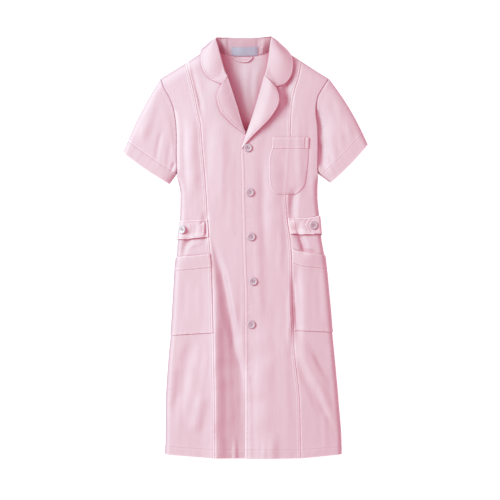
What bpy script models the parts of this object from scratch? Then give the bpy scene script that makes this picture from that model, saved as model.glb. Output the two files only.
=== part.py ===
"""A short-sleeved, button-front uniform dress with a notch collar, laid flat on its back.

X runs to the viewer's right, Y up the garment to its collar, and Z out of its front. The back lies on
Z = 0. Sizes are in millimetres until the meshes are made.
"""

import math

import bmesh
import bpy
import numpy as np

MM = 0.001

# Cloth and the way it lies
CLOTH = 1.4              # wall thickness of one layer, seam allowances included
GAP = 0.3                # between neighbouring pieces
PANEL_GAP = 0.4          # between two panels at a seam
LAYER = CLOTH + PANEL_GAP  # one layer up, clear of the one below
SIDE_LOFT = 10.0         # height of the fronts over the back, near the side
SIDE_ROUND = 11.0        # radius of the roll at the side
SHOULDER_ROUND = 24.0    # radius of the roll at the shoulder
SLEEVE_LOFT = 12.5       # full height of a flattened sleeve
ROW_SPACING = 27.0       # rows of a panel, along its length
SEWN_ON = 0.5            # under a piece that lies loosely on its panel

# How the fronts rise from their edges
ARMHOLE_BLEND = 34.0     # length over which the rolled side fades out below the armhole
FOLD_FADE = 26.0         # folds reach full height this far in from the sides
BELT_FADE = 30.0         # as does the climb over the belt, but falling
CROWN_POWER = 2.5        # flatness of the crown across the body
NECK_LOFT = 7.0          # the fronts' rise round the neck
NECK_LOFT_LOW = 300.0    # it begins at this height
NECK_LOFT_RUN = 110.0    # and is full this much higher
NECK_LOFT_NEAR = 35.0    # full up to this far from the middle
NECK_LOFT_FADE = 75.0    # and gone this much further out
LEAST_LOFT = 0.2

# Buttons, label and loop
BUTTON_RADIUS = 10.0
BUTTON_THICK = 2.6
BUTTON_STEPS = 20
BUTTON_OUT = 0.45        # a button's back, off the cloth
TAB_BUTTON_OUT = 1.1     # more under the right tab's, which holds the belt's end too
LABEL_THICK = 1.0
LOOP_RADIUS = 1.6
LOOP_CENTRE = (-8.0, 455.5)
LOOP_HALF_WIDTH = 21.0
LOOP_HANG = 9.0
LOOP_POINTS = 12

# Cross sections of the torso, hem to shoulder. level is the height of the row at the princess seams,
# side_drop how much lower it is at the sides, neck_rise how much higher at the fronts' inner edges.
# edge_left and edge_right are those inner edges: the lapped placket up to the break, then the roll line.
SECTION_COLUMNS = ("name", "level", "side_left", "seam_left", "edge_left", "edge_right", "seam_right",
                   "side_right", "side_drop", "neck_rise", "crown")
SECTIONS = (
    ("hem",                 -505, -192,  -72,   28,    0, 134, 230,  -9, -2, 6),
    ("hem stitch",          -484, -191,  -72,   28,    0, 133, 230,  -8,  0, 6),
    ("calf",                -371, -190,  -73,   28,    0, 131, 223,   0,  0, 7),
    ("knee",                -256, -183,  -75,   28,    0, 119, 213,   3,  0, 7),
    ("hip pocket bottom",   -202, -178,  -76,   28,    0, 116, 208,   6,  0, 7),
    ("thigh",               -126, -173,  -78,   28,    0, 112, 202,   9,  0, 6),
    ("hip pocket band",      -45, -168,  -81,   25,   -3, 112, 194,  11,  0, 5),
    ("hip pocket top",       -11, -164,  -84,   24,   -4, 111, 189,  11,  0, 5),
    ("tab bottom",            28, -161,  -87,   23,   -5, 107, 181,   4,  0, 4),
    ("tab top",               68, -156,  -90,   22,   -6, 101, 177,   1,  0, 4),
    ("chest pocket bottom",  126, -155,  -93,   21,   -7,  98, 172,   0,  0, 5),
    ("underarm",             178, -163,  -97,   20,   -8, 102, 173,   0,  0, 6),
    ("break",                234, -164, -102,   18,  -10, 106, 174,   0,  0, 6),
    ("chest pocket top",     262, -164, -104,    8,   -2, 108, 174,   0,  0, 6),
    ("upper chest",          290, -165, -106,   -5,    8, 109, 173,   1,  0, 6),
    ("armhole",              330, -170, -114,  -17,   22, 111, 169,   3,  2, 5),
    ("high armhole",         370, -181, -122,  -31,   35, 117, 173,  12,  6, 5),
    ("yoke",                 408, -195, -131,  -48,   49, 128, 187,  24, 16, 4),
    ("shoulder",             443, -203, -140,  -78,   75, 135, 200,  39, 40, 3),
)
SHOULDER_LEFT = (-203.0, 404.0)
SHOULDER_RIGHT = (200.0, 404.0)
NECK_LEFT = (-78.0, 483.0)
NECK_RIGHT = (75.0, 485.0)
NECK_DROP = 27.0         # the back neck below the neck's side points
BACK_DROP_RUN = 90.0     # the back's rows bend down to the sides within this

# Columns of a panel, as shares of its width
SIDE_COLUMNS = (0, 0.07, 0.22, 0.38, 0.54, 0.70, 0.84, 0.93, 0.98, 1)
RIGHT_COLUMNS = (0, 0.07, 0.22, 0.37, 0.52, 0.64, 0.76, 0.88, 0.95, 1)
LEFT_COLUMNS = (0, 0.07, 0.22, 0.37, 0.52, 0.66, 0.80, 0.92, 1)
LAPPED = 3               # columns of the left front that the right one covers
POCKET_LEFT_COLUMN = 3   # chest pocket's left edge, in the right centre front
POCKET_RIGHT_COLUMN = 5  # and its right edge, in the right side front

# Largest folds: a line, its half width to each side, and its height (troughs are negative)
# Columns: name, x0, y0, x1, y1, left_width, right_width, height
FOLDS = (
    ("skirt falls in to the placket",    -2,  -90,    2, -680,  68, 100, -8.0),
    ("skirt crease to the placket",     -76,   10,   -2, -310,  16,  24, -3.5),
    ("left princess ridge",             -72,  -20,  -68, -680,  26,  16,  3.0),
    ("pocket hollow by the right seam", 121,  -20,  127, -250,  16,  22, -4.0),
    ("right skirt ridge",               122, -200,  214, -440,  26,  26,  4.0),
    ("right skirt trough",              124, -262,  206, -430,  22,  22, -3.5),
    ("right hem ripple",                 62, -430,   66, -640,  22,  22,  3.0),
    ("left skirt trough",              -125, -205, -172, -420,  26,  26, -3.5),
    ("left skirt ridge",                -99, -340, -122, -450,  22,  22,  2.5),
    ("pinch under the right tab",       116,   62,  150,  -24,  14,  18, -5.0),
    ("pinch under the left tab",       -130,   34, -164,  -34,  16,  16, -4.0),
    ("left waist pinch",                -94,   92,  -96,    4,  12,  14, -3.0),
    ("right waist pinch",               118,  150,  112,   52,  16,  16, -4.0),
    ("left bodice ridge",              -132,  330, -124,  110,  24,  24,  3.0),
    ("left bust ridge",                 -62,  330,  -58,   60,  30,  30,  2.5),
    ("right bust ridge",                 64,  250,   70,  -30,  32,  32,  2.5),
    ("right yoke hollow",               100,  430,  100,  320,  20,  16, -4.0),
    ("left sleeve crease",             -196,  276, -214,  200,  14,  14, -3.0),
    ("left sleeve ridge",              -214,  372, -252,  240,  22,  22,  2.0),
    ("right sleeve ridge",              222,  372,  262,  250,  22,  22,  2.0),
)

# Lapels and collar: each row runs from the roll line to the free edge. lift is how far the free edge
# stands off the front, and height is a roll or edge height over the floor.
LAPEL_ARCH = 0.62        # share of a half wave from the roll to the free edge: it ends off its top
# Columns: roll_x, roll_y, edge_x, edge_y, lift
LEFT_LAPEL = (
    (-46.2, 404.6, -57.4, 390.2, 5),
    (-42.5, 394,   -65.0, 376,   6),
    (-37.5, 382,   -68.8, 360,   6),
    (-31.5, 366,   -66.0, 345,   6),
    (-24.5, 348,   -57.0, 326,   5),
    (-16.5, 326,   -42.5, 307,   4),
    ( -8.5, 303,   -26.0, 290,   3),
    ( -3.2, 286,    -9.5, 279,   2),
    ( -1.2, 276.5,  -2.2, 272.5, 1),
)
RIGHT_LAPEL = (
    (51.6, 405.2, 72.6, 384.2, 6),
    (47.5, 392,   79.4, 368,   8),
    (42.5, 377,   81.6, 352,   9),
    (37.0, 360,   76.0, 334,   9),
    (30.0, 341,   66.5, 318,   8),
    (23.0, 322,   55.0, 302,   7),
    (15.5, 301,   35.0, 282,   5),
    ( 8.0, 282,   16.0, 264,   4),
    (-1.5, 257,    1.5, 252,   2),
    (-8.6, 237.0, -7.6, 238.5, 1),
)
# tuck is how far the collar turns under past its lowest edge, behind the neck.
# Columns: roll_x, roll_y, roll_z, edge_x, edge_y, edge_z, bulge, tuck
COLLAR_FALL = (
    (-46.0, 405.6, 21,   -57.4, 391.0, 17,   1,  0),
    (-49.0, 418,   23,   -71.5, 397,   16,   2,  0),
    (-51.5, 430,   24,   -86.5, 404,   16,   3,  0),
    (-54.5, 444,   25,   -98.5, 418,   16,   4,  0),
    (-58.0, 458,   26,  -105.5, 436,   14,   5,  0),
    (-62.0, 473,   26,  -108.6, 455,   11,   6,  0),
    (-65.5, 486,   26,  -108.4, 472,    6,   7,  0),
    (-68.5, 499,   26,   -94.0, 487,    2,   7,  0),
    (-64.0, 503,   25,   -76.0, 500,    1.4, 4,  8),
    (-52.0, 501.5, 24,   -54.0, 504,    1.4, 1, 30),
    (-25.0, 500,   23,   -25.0, 503,    1.4, 0, 37),
    (  5.0, 500,   23,     5.0, 503,    1.4, 0, 37),
    ( 32.0, 501,   24,    33.0, 504,    1.4, 0, 36),
    ( 48.0, 504,   25,    51.0, 506,    1.4, 1, 28),
    ( 59.0, 504.5, 26,    68.0, 504,    1.4, 4,  8),
    ( 61.0, 500,   26,    88.0, 487,    2,   7,  0),
    ( 59.5, 486,   27,   106.0, 470,    6,   7,  0),
    ( 57.0, 471,   27,   113.5, 455,   13,   6,  0),
    ( 55.0, 456,   26,   115.0, 438,   16,   5,  0),
    ( 53.6, 440,   26,   112.8, 420,   17,   4,  0),
    ( 52.5, 425,   25,   106.0, 405,   18,   3,  0),
    ( 52.0, 414,   24,    92.5, 391.5, 18,   2,  0),
    ( 51.9, 406.4, 23,    73.2, 385.2, 18,   1,  0),
)

# Sleeves: side, overarm and underarm corners of the cuff, how far the overarm edge rounds outward, and
# how far the top dips at the armhole seam
SLEEVES = (
    ("left",  (-293.8, 228.0), (-182.0, 152.4), 5.0, 1.5),
    ("right", (293.8, 247.6),  (203.2, 155.2),  6.0, 3.5),
)
SLEEVE_SECTIONS = (0, 0.06, 0.16, 0.30, 0.45, 0.60, 0.75, 0.88, 1)
SLEEVE_ENDS = (0, 0.02, 0.05, 0.97, 1)  # shares of the armhole, beside those of the panels' rows
SLEEVE_SEAM = 0.6        # from the armhole's edge, along X
SLEEVE_TOP_GAP = 1.0     # and this much more at the shoulder point, where the front rolls over
SLEEVE_EDGE = 4.5        # height of the flattened tube's two folded edges
SLEEVE_ROUND = 11.0      # run over which it rises from them
SLEEVE_CROWN = 1.5
CUFF_BOW = 3.0           # the cuff's edge is slightly convex
CUFF_OUT = (0.56, -0.83)  # direction square to the cuff's edge, outward and up
OVERARM_OUT = (0.86, 0.5)  # and to the overarm edge

# Collar stand, inside the neck: X of its ends at the neck seam, and the height of its roll
STAND_LEFT = -64.0
STAND_RIGHT = 59.0
STAND_TOP = 22.0

# Pockets
POCKET_CORNER = 17.0     # cut off the chest pocket's lower corners
MOUTH_LEFT = 1.5         # how far the hip pockets' mouths stand open
MOUTH_RIGHT = 3.5
MOUTH_SHARE = 0.7        # from this share of the pocket's height up

# Half belt of the back, under the back panel and round the right side
BELT_LOW = 29.0
BELT_HIGH = 68.0
BELT_TIP = 144.0         # pointed end, on the right tab
BELT_POINT = 9.0         # how far its corners stand back from the tip
BELT_TURN = 2.2          # inside of its turn, from the side of the back
BELT_LEFT_END = -150.0
BELT_RAMP = 12.0         # the back climbs over the belt within this
BELT_CLEAR = 2.0         # before the belt's edge
BELT_FLAT_END = 166.0    # the belt's end lies level from here out to its turn
BELT_OVER_TAB = 0.6      # looseness of the belt's end on the tab

LEFT_TAB_BUTTON = (-151.1, 42.4)
RIGHT_TAB_BUTTON = (164.0, 53.0)
FRONT_BUTTONS = ((6.5, 238.5), (11.4, 131.6), (14.5, 25.3), (19.1, -81.5), (14.5, -184.9))

PINK = (0.80, 0.56, 0.63, 1.0)
DEEP_PINK = (0.76, 0.50, 0.58, 1.0)
PEARL = (0.74, 0.68, 0.74, 1.0)
LABEL_GREY = (0.45, 0.51, 0.62, 1.0)


def clear_scene():
    for item in list(bpy.data.objects):
        bpy.data.objects.remove(item, do_unlink=True)


def new_collection(name):
    collection = bpy.data.collections.new(name)
    bpy.context.scene.collection.children.link(collection)
    return collection


def finish(name, colour, roughness):
    """A Principled material for one piece."""
    material = bpy.data.materials.new(name)
    material.use_nodes = True
    shader = material.node_tree.nodes["Principled BSDF"]
    shader.inputs["Base Color"].default_value = colour
    shader.inputs["Roughness"].default_value = roughness
    shader.inputs["Metallic"].default_value = 0.0
    return material


def column(table, names, name):
    """One named column of a table, as an array."""
    return np.array([row[names.index(name)] for row in table], float)


def section(name):
    """One named column of the torso's cross sections."""
    return column(SECTIONS, SECTION_COLUMNS, name)


def level_of(name):
    for row in SECTIONS:
        if row[0] == name:
            return row[1]
    raise ValueError(name)


def smooth_step(share):
    share = np.clip(share, 0, 1)
    return share * share * (3 - 2 * share)


def quarter_round(share):
    """Height of a quarter circle, as a share of its radius."""
    return np.sqrt(1 - (1 - np.clip(share, 0, 1)) ** 2)


def smooth_curve(knots, values, at):
    """Read a smooth curve through a table's rows, which never overshoots them."""
    at = np.clip(at, knots[0], knots[-1])
    step = np.diff(knots)
    rise = np.diff(values) / step
    same_way = rise[:-1] * rise[1:] > 0
    total = np.where(same_way, rise[:-1] + rise[1:], 1)
    inner = np.where(same_way, 2 * rise[:-1] * rise[1:] / total, 0)
    slope = np.concatenate([rise[:1], inner, rise[-1:]])
    index = np.clip(np.searchsorted(knots, at, side="right") - 1, 0, len(step) - 1)
    width = step[index]
    share = (at - knots[index]) / width
    start, end = values[index], values[index + 1]
    return (start + (end - start) * share * share * (3 - 2 * share)
            + width * share * (1 - share) * ((1 - share) * slope[index] - share * slope[index + 1]))


def row_value(name, level):
    """A column of the cross sections, read at any row level."""
    return smooth_curve(section("level"), section(name), level)


def side_x(side, y):
    """X of the torso's edge, or of the armhole, at a real height."""
    return smooth_curve(section("level") - section("side_drop"), section("side_" + side), y)


def shoulder_reach(x, y):
    """Distance below the nearer shoulder line."""
    reaches = []
    for (x0, y0), (x1, y1) in ((SHOULDER_LEFT, NECK_LEFT), (SHOULDER_RIGHT, NECK_RIGHT)):
        length = math.hypot(x1 - x0, y1 - y0)
        sign = 1 if x1 > x0 else -1
        reaches.append(sign * ((x - x0) * (y1 - y0) - (y - y0) * (x1 - x0)) / length)
    return np.where(x < 0, reaches[0], reaches[1])


def fold_height(x, y):
    """The sum of the folds at a point."""
    height = np.zeros(np.broadcast(x, y).shape)
    for _, x0, y0, x1, y1, left_width, right_width, depth in FOLDS:
        length = math.hypot(x1 - x0, y1 - y0)
        along = ((x - x0) * (x1 - x0) + (y - y0) * (y1 - y0)) / length ** 2
        off = ((x - x0) * (y1 - y0) - (y - y0) * (x1 - x0)) / length
        off = off if y1 > y0 else -off
        reach = np.clip(np.where(off > 0, off / right_width, -off / left_width), 0, 1)
        across = 0.5 + 0.5 * np.cos(math.pi * reach)
        height = height + depth * across * smooth_step(along / 0.3) * smooth_step((1 - along) / 0.3)
    return height


BELT_BAND = (BELT_LOW - BELT_CLEAR - BELT_RAMP, BELT_LOW - BELT_CLEAR,
             BELT_HIGH + BELT_CLEAR, BELT_HIGH + BELT_CLEAR + BELT_RAMP)


def belt_lift(y):
    """How far the back climbs over the half belt."""
    return np.interp(y, BELT_BAND, (0, CLOTH + GAP, CLOTH + GAP, 0))


def front_height(x, y):
    """Height of the underside of the fronts over the floor."""
    x, y = np.asarray(x, float), np.asarray(y, float)
    left, right = side_x("left", y), side_x("right", y)
    reach = np.clip(np.minimum(x - left, right - x), 0, None)
    armhole = smooth_step((y - level_of("underarm") + ARMHOLE_BLEND) / ARMHOLE_BLEND)
    edge = armhole + (1 - armhole) * quarter_round(reach / SIDE_ROUND)
    across = np.clip((x - left) / (right - left), 0, 1)
    crown = smooth_curve(section("level"), section("crown"), y) * (1 - np.abs(2 * across - 1) ** CROWN_POWER)
    raised = SIDE_LOFT * edge + crown + fold_height(x, y) * smooth_step(reach / FOLD_FADE)
    beside = smooth_step((np.abs(x) - NECK_LOFT_NEAR) / NECK_LOFT_FADE)
    neck = NECK_LOFT * smooth_step((y - NECK_LOFT_LOW) / NECK_LOFT_RUN) * (1 - beside)
    shoulder = quarter_round(shoulder_reach(x, y) / SHOULDER_ROUND)
    over_belt = belt_lift(y) * (1 - smooth_step(reach / BELT_FADE))
    return LAYER + over_belt + np.maximum(raised + neck, LEAST_LOFT) * shoulder


def with_normals(points):
    """Outward directions of a grid of points, weighted by the angles of its triangles."""
    rows, columns = points.shape[:2]
    index = np.arange(rows * columns).reshape(rows, columns)
    flat = points.reshape(-1, 3)
    corner = (index[:-1, :-1], index[:-1, 1:], index[1:, 1:], index[1:, :-1])
    normals = np.zeros_like(flat)
    for a, b, c in ((0, 1, 2), (0, 2, 3)):
        tri = np.stack([corner[a].ravel(), corner[b].ravel(), corner[c].ravel()], axis=1)
        p = flat[tri]
        face = np.cross(p[:, 1] - p[:, 0], p[:, 2] - p[:, 0])
        face /= np.linalg.norm(face, axis=1)[:, None]
        for k in range(3):
            u = p[:, (k + 1) % 3] - p[:, k]
            v = p[:, (k + 2) % 3] - p[:, k]
            cosine = (u * v).sum(1) / np.linalg.norm(u, axis=1) / np.linalg.norm(v, axis=1)
            np.add.at(normals, tri[:, k], face * np.arccos(np.clip(cosine, -1, 1))[:, None])
    normals /= np.linalg.norm(normals, axis=1)[:, None]
    return normals.reshape(points.shape)


def moved_out(points, normals, distance):
    """A grid moved off its cloth by a distance, or by one distance a point."""
    distance = np.asarray(distance, float)
    return points + normals * (distance[..., None] if distance.ndim else distance)


def on_front(x, y, out):
    """Points over the fronts, straight up from the underside of the cloth."""
    return np.stack([x, y, front_height(x, y) + out], axis=-1)


def front_normal(x, y, step=4.0):
    """Direction out of the front, from its slope."""
    slope_x = (front_height(x + step, y) - front_height(x - step, y)) / (2 * step)
    slope_y = (front_height(x, y + step) - front_height(x, y - step)) / (2 * step)
    normal = np.array([-slope_x, -slope_y, 1.0])
    return normal / np.linalg.norm(normal)


def mesh_object(name, vertices, faces, material, collection):
    mesh = bpy.data.meshes.new(name)
    mesh.from_pydata([tuple(v) for v in np.asarray(vertices) * MM], [], [tuple(f) for f in faces])
    mesh.materials.append(material)
    mesh.shade_smooth()
    item = bpy.data.objects.new(name, mesh)
    collection.objects.link(item)
    return item


def cloth(name, points, material, collection, thickness=CLOTH, closed=False, inward=False):
    """One sewn piece: an open sheet through a grid of points, thickened to one side by Solidify."""
    rows, columns = points.shape[:2]
    last = columns if closed else columns - 1
    faces = []
    for r in range(rows - 1):
        for c in range(last):
            a = r * columns + c
            b = r * columns + (c + 1) % columns
            faces.append((a, b, b + columns))
            faces.append((a, b + columns, a + columns))
    item = mesh_object(name, points.reshape(-1, 3), faces, material, collection)
    shell = item.modifiers.new("wall", "SOLIDIFY")
    shell.thickness = thickness * MM
    shell.offset = -1 if inward else 1
    return item


def row_levels():
    """Levels of the panels' rows: every section, and evenly spaced rows between."""
    levels = []
    tabled = section("level")
    for low, high in zip(tabled[:-1], tabled[1:]):
        count = max(1, round((high - low) / ROW_SPACING))
        levels.extend(low + (high - low) * k / count for k in range(count))
    levels.append(tabled[-1])
    return np.array(levels)


ROWS = row_levels()
ARMHOLE_ROWS = ROWS[ROWS >= level_of("underarm")]


def rows_between(low, high):
    """Row numbers from one named section to another."""
    return np.nonzero((ROWS >= level_of(low) - 0.01) & (ROWS <= level_of(high) + 0.01))[0]


def side_panel(side):
    """Plan and underside of a side front, columns from the princess seam to the side."""
    inward = 1 if side == "left" else -1
    seam = row_value("seam_" + side, ROWS) - inward * PANEL_GAP / 2
    edge = row_value("side_" + side, ROWS)
    drop = row_value("side_drop", ROWS)
    share = np.array(SIDE_COLUMNS)
    x = seam[:, None] + (edge - seam)[:, None] * share
    y = ROWS[:, None] - drop[:, None] * share
    return on_front(x, y, 0)


def centre_panel_right():
    """Right centre front, columns from the princess seam to its inner edge, raised over the left one."""
    seam = row_value("seam_right", ROWS) - PANEL_GAP / 2
    edge = row_value("edge_right", ROWS)
    share = np.array(RIGHT_COLUMNS)
    x = seam[:, None] + (edge - seam)[:, None] * share
    y = ROWS[:, None] + row_value("neck_rise", ROWS)[:, None] * share
    lap = LAYER * smooth_step((share - 0.5) / 0.26)
    return on_front(x, y, lap[None, :])


def centre_panel_left(right):
    """Left centre front. Its last columns lie under the right front, on that front's own columns."""
    seam = row_value("seam_left", ROWS) + PANEL_GAP / 2
    rise = row_value("neck_rise", ROWS)
    inner = row_value("edge_left", ROWS)
    visible = len(LEFT_COLUMNS)
    total = visible + LAPPED
    even = np.array([LEFT_COLUMNS[min(k, visible - 1)] for k in range(total)], float)
    even[2:] = np.linspace(even[2], 1, total - 2)
    x = np.empty((len(ROWS), total))
    for r, level in enumerate(ROWS):
        if level <= level_of("break"):
            placket = right[r, -1, 0]
            x[r, :visible] = seam[r] + (placket - seam[r]) * np.array(LEFT_COLUMNS)
            x[r, visible:] = right[r, -2:-2 - LAPPED:-1, 0]
        else:
            x[r] = seam[r] + (inner[r] - seam[r]) * even
    share = (x - x[:, :1]) / (x[:, -1:] - x[:, :1])
    y = ROWS[:, None] + rise[:, None] * share
    return on_front(x, y, 0)


def mirrored_rows(points, side):
    """Grid with its columns running to +X, so that its faces look up."""
    return points if side == "right" else points[:, ::-1]


def neck_y(x):
    """Height of the neck seam of the back, between the neck's side points."""
    middle = (NECK_LEFT[0] + NECK_RIGHT[0]) / 2
    half = (NECK_RIGHT[0] - NECK_LEFT[0]) / 2
    top = np.interp(x, (NECK_LEFT[0], NECK_RIGHT[0]), (NECK_LEFT[1], NECK_RIGHT[1]))
    return top - NECK_DROP * (1 - np.abs((x - middle) / half) ** 3)


def back_panel(collection):
    """The back, flat on the floor, its top edge along the shoulders and the neck."""
    neck = np.linspace(NECK_LEFT[0], NECK_RIGHT[0], 15)
    top_x = np.concatenate([np.linspace(SHOULDER_LEFT[0], NECK_LEFT[0], 4)[:-1], neck,
                            np.linspace(NECK_RIGHT[0], SHOULDER_RIGHT[0], 4)[1:]])
    top_y = np.where(top_x < NECK_LEFT[0],
                     np.interp(top_x, (SHOULDER_LEFT[0], NECK_LEFT[0]), (SHOULDER_LEFT[1], NECK_LEFT[1])),
                     np.interp(top_x, (NECK_RIGHT[0], SHOULDER_RIGHT[0]), (NECK_RIGHT[1], SHOULDER_RIGHT[1])))
    top_y = np.where((top_x > NECK_LEFT[0]) & (top_x < NECK_RIGHT[0]), neck_y(top_x), top_y)
    share = (top_x - top_x[0]) / (top_x[-1] - top_x[0])
    below = section("level")[section("level") <= level_of("hip pocket top")]
    levels = np.concatenate([below, BELT_BAND, [level_of("chest pocket bottom")], ARMHOLE_ROWS[:-1]])
    rows = []
    for level in levels:
        left, right = row_value("side_left", level), row_value("side_right", level)
        x = left + (right - left) * share
        y = np.full_like(x, level)
        if BELT_BAND[0] <= level <= BELT_BAND[3]:
            x = side_x("left", level) + (side_x("right", level) - side_x("left", level)) * share
        else:
            reach = np.minimum(x - left, right - x)
            y -= row_value("side_drop", level) * np.clip(1 - reach / BACK_DROP_RUN, 0, 1)
        rows.append(np.stack([x, y, belt_lift(level) * np.ones_like(x)], axis=-1))
    rows.append(np.stack([top_x, top_y, np.zeros_like(top_x)], axis=-1))
    return cloth("back_panel", np.array(rows), finish("back cloth", DEEP_PINK, 0.8), collection)


def hip_pocket(side, panel, collection):
    """Patch pocket across a whole side front, made from the panel's own points moved out."""
    rows = rows_between("hip pocket bottom", "hip pocket top")
    points, normals = panel[rows], with_normals(panel)[rows]
    up = (ROWS[rows] - ROWS[rows[0]]) / (ROWS[rows[-1]] - ROWS[rows[0]])
    across = np.sin(np.linspace(0, math.pi, points.shape[1]))
    gape = MOUTH_RIGHT if side == "right" else MOUTH_LEFT
    mouth = gape * smooth_step((up - MOUTH_SHARE) / (1 - MOUTH_SHARE))[:, None] * across[None, :]
    pocket = moved_out(points, normals, CLOTH + GAP + mouth)
    return cloth("hip_pocket_" + side, pocket, finish("pocket cloth " + side, PINK, 0.78), collection)


def chest_pocket(centre, side_front, collection):
    """Patch pocket over the right princess seam, its lower corners cut off."""
    rows = rows_between("chest pocket bottom", "chest pocket top")
    left = centre[rows][:, POCKET_LEFT_COLUMN:0:-1]
    left_normals = with_normals(centre[:, ::-1])[:, ::-1][rows][:, POCKET_LEFT_COLUMN:0:-1]
    right = side_front[rows][:, :POCKET_RIGHT_COLUMN + 1]
    right_normals = with_normals(side_front)[rows][:, :POCKET_RIGHT_COLUMN + 1]
    points = np.concatenate([left, right], axis=1)
    normals = np.concatenate([left_normals, right_normals], axis=1)
    pocket = moved_out(points, normals, CLOTH + SEWN_ON)
    bottom = pocket[0]
    bottom[0, 0] += POCKET_CORNER
    bottom[-1, 0] -= POCKET_CORNER
    bottom[1, 0] = max(bottom[1, 0], bottom[0, 0] + 4)
    bottom[-2, 0] = min(bottom[-2, 0], bottom[-1, 0] - 4)
    bottom[:, 2] = front_height(bottom[:, 0], bottom[:, 1]) + CLOTH + 0.9
    return cloth("chest_pocket", pocket, finish("chest pocket cloth", PINK, 0.78), collection)


def waist_tab(side, panel, collection):
    """Strap across the side front, sewn in the princess seam."""
    rows = rows_between("tab bottom", "tab top")
    last = len(SIDE_COLUMNS) if side == "left" else len(SIDE_COLUMNS) - 4
    points, normals = panel[rows], with_normals(panel)[rows]
    if side == "left":
        points, normals = points[:, -last:], normals[:, -last:]
    else:
        points, normals = points[:, :last], normals[:, :last]
    tab = moved_out(points, normals, CLOTH + GAP)
    return cloth("waist_tab_" + side, tab, finish("tab cloth " + side, PINK, 0.78), collection)


def belt_top(x, y):
    """Underside of the belt's end, which lies on the right tab."""
    return front_height(np.minimum(x, BELT_FLAT_END), y) + 2 * CLOTH + 3 * GAP + BELT_OVER_TAB


def back_belt(collection):
    """Half belt: under the back, round the right side, and pointed where it lies on the tab."""
    across = np.linspace(-1, 1, 5)
    rows = []
    for v in across:
        y = (BELT_LOW + BELT_HIGH) / 2 + v * (BELT_HIGH - BELT_LOW) / 2
        turn_x = float(side_x("right", y)) + BELT_TURN
        under_x = np.array([BELT_LEFT_END, -60, 40, 120, 165, turn_x - 1.2])
        under = np.stack([under_x, np.full(6, y), np.full(6, CLOTH)], axis=-1)
        top = float(belt_top(np.array(BELT_FLAT_END), np.array(y)))
        turn = np.array([(turn_x, y, CLOTH + 1.6), (turn_x + 0.3, y, 0.6 * top),
                         (turn_x - 1.8, y, top - 1.6), (turn_x - 6, y, top - 0.2)])
        over_x = np.linspace(170, BELT_TIP + BELT_POINT * abs(v), 5)
        over = np.stack([over_x, np.full(5, y), belt_top(over_x, np.full(5, y))], axis=-1)
        rows.append(np.concatenate([under, turn, over]))
    belt = np.array(rows)[::-1]
    return cloth("back_belt", belt, finish("belt cloth", PINK, 0.78), collection)


def lapel(side, table, lap, collection):
    """Lapel turned back on its front, from the roll line to its free edge."""
    shares = np.linspace(0, 1, 6)
    rows = []
    for roll_x, roll_y, edge_x, edge_y, lift in table:
        x = roll_x + (edge_x - roll_x) * shares
        y = roll_y + (edge_y - roll_y) * shares
        arch = lift * np.sin(shares * math.pi * LAPEL_ARCH) + SEWN_ON
        points = on_front(x, y, 0)
        points[:, 2] += lap + CLOTH + GAP + arch
        rows.append(points)
    grid = np.array(rows)
    if side == "left":
        grid = grid[:, ::-1]
    grid = grid[::-1]
    return cloth("lapel_" + side, grid, finish("lapel cloth " + side, PINK, 0.78), collection)


def inside_torso(x, y):
    """True over the fronts, from their roll edges to the sides."""
    return (x > side_x("left", y) - 3) & (x < side_x("right", y) + 3) & (shoulder_reach(x, y) > -3)


def collar_fall(collection):
    """Collar's outer part: over the shoulders at the sides, down behind the neck."""
    rows = []
    for roll_x, roll_y, roll_z, edge_x, edge_y, edge_z, bulge, tuck in COLLAR_FALL:
        fall = math.dist((roll_x, roll_y, roll_z), (edge_x, edge_y, edge_z))
        length = np.linspace(0, fall + tuck, 9)
        shares = np.clip(length / fall, 0, 1)
        under = np.clip(length - fall, 0, None)
        x = roll_x + (edge_x - roll_x) * shares
        y = roll_y + (edge_y - roll_y) * shares - under
        z = roll_z + (edge_z - roll_z) * shares + bulge * np.sin(math.pi * shares)
        front = front_height(x, y) + LAYER + CLOTH + 0.8
        z = np.where(inside_torso(x, y) & (tuck == 0), np.maximum(z, front), z)
        rows.append(np.stack([x, y, z], axis=-1))
    grid = np.array(rows)[::-1]
    return cloth("collar_fall", grid, finish("collar cloth", PINK, 0.78), collection)


def stand_point(x, share):
    """A point of the inner collar stand: share 0 is its neck seam, share 1 its roll."""
    middle = (STAND_LEFT + STAND_RIGHT) / 2
    spread = (x - middle) / (STAND_RIGHT - middle)
    low_y = neck_y(x) + 1.4
    high_y = 497.5 + 2.5 * spread ** 2
    y = low_y + (high_y - low_y) * share
    z = 0.4 + (STAND_TOP - 0.4) * share ** 1.15 + 1.5 * np.sin(math.pi * share)
    return np.stack(np.broadcast_arrays(x, y, z), axis=-1)


def collar_stand(collection):
    x = np.linspace(STAND_LEFT, STAND_RIGHT, 15)
    grid = np.array([stand_point(x, share) for share in np.linspace(0, 1, 6)])
    return cloth("collar_stand", grid, finish("collar stand cloth", DEEP_PINK, 0.8), collection)


def stand_patch(name, left, right, low, high, columns, material, collection):
    """A flat piece sewn on the stand, made from the stand's points moved out."""
    x = np.linspace(left, right, columns)
    grid = np.array([stand_point(x, share) for share in np.linspace(low, high, 4)])
    patch = moved_out(grid, with_normals(grid), CLOTH + SEWN_ON)
    return cloth(name, patch, material, collection, thickness=LABEL_THICK)


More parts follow.
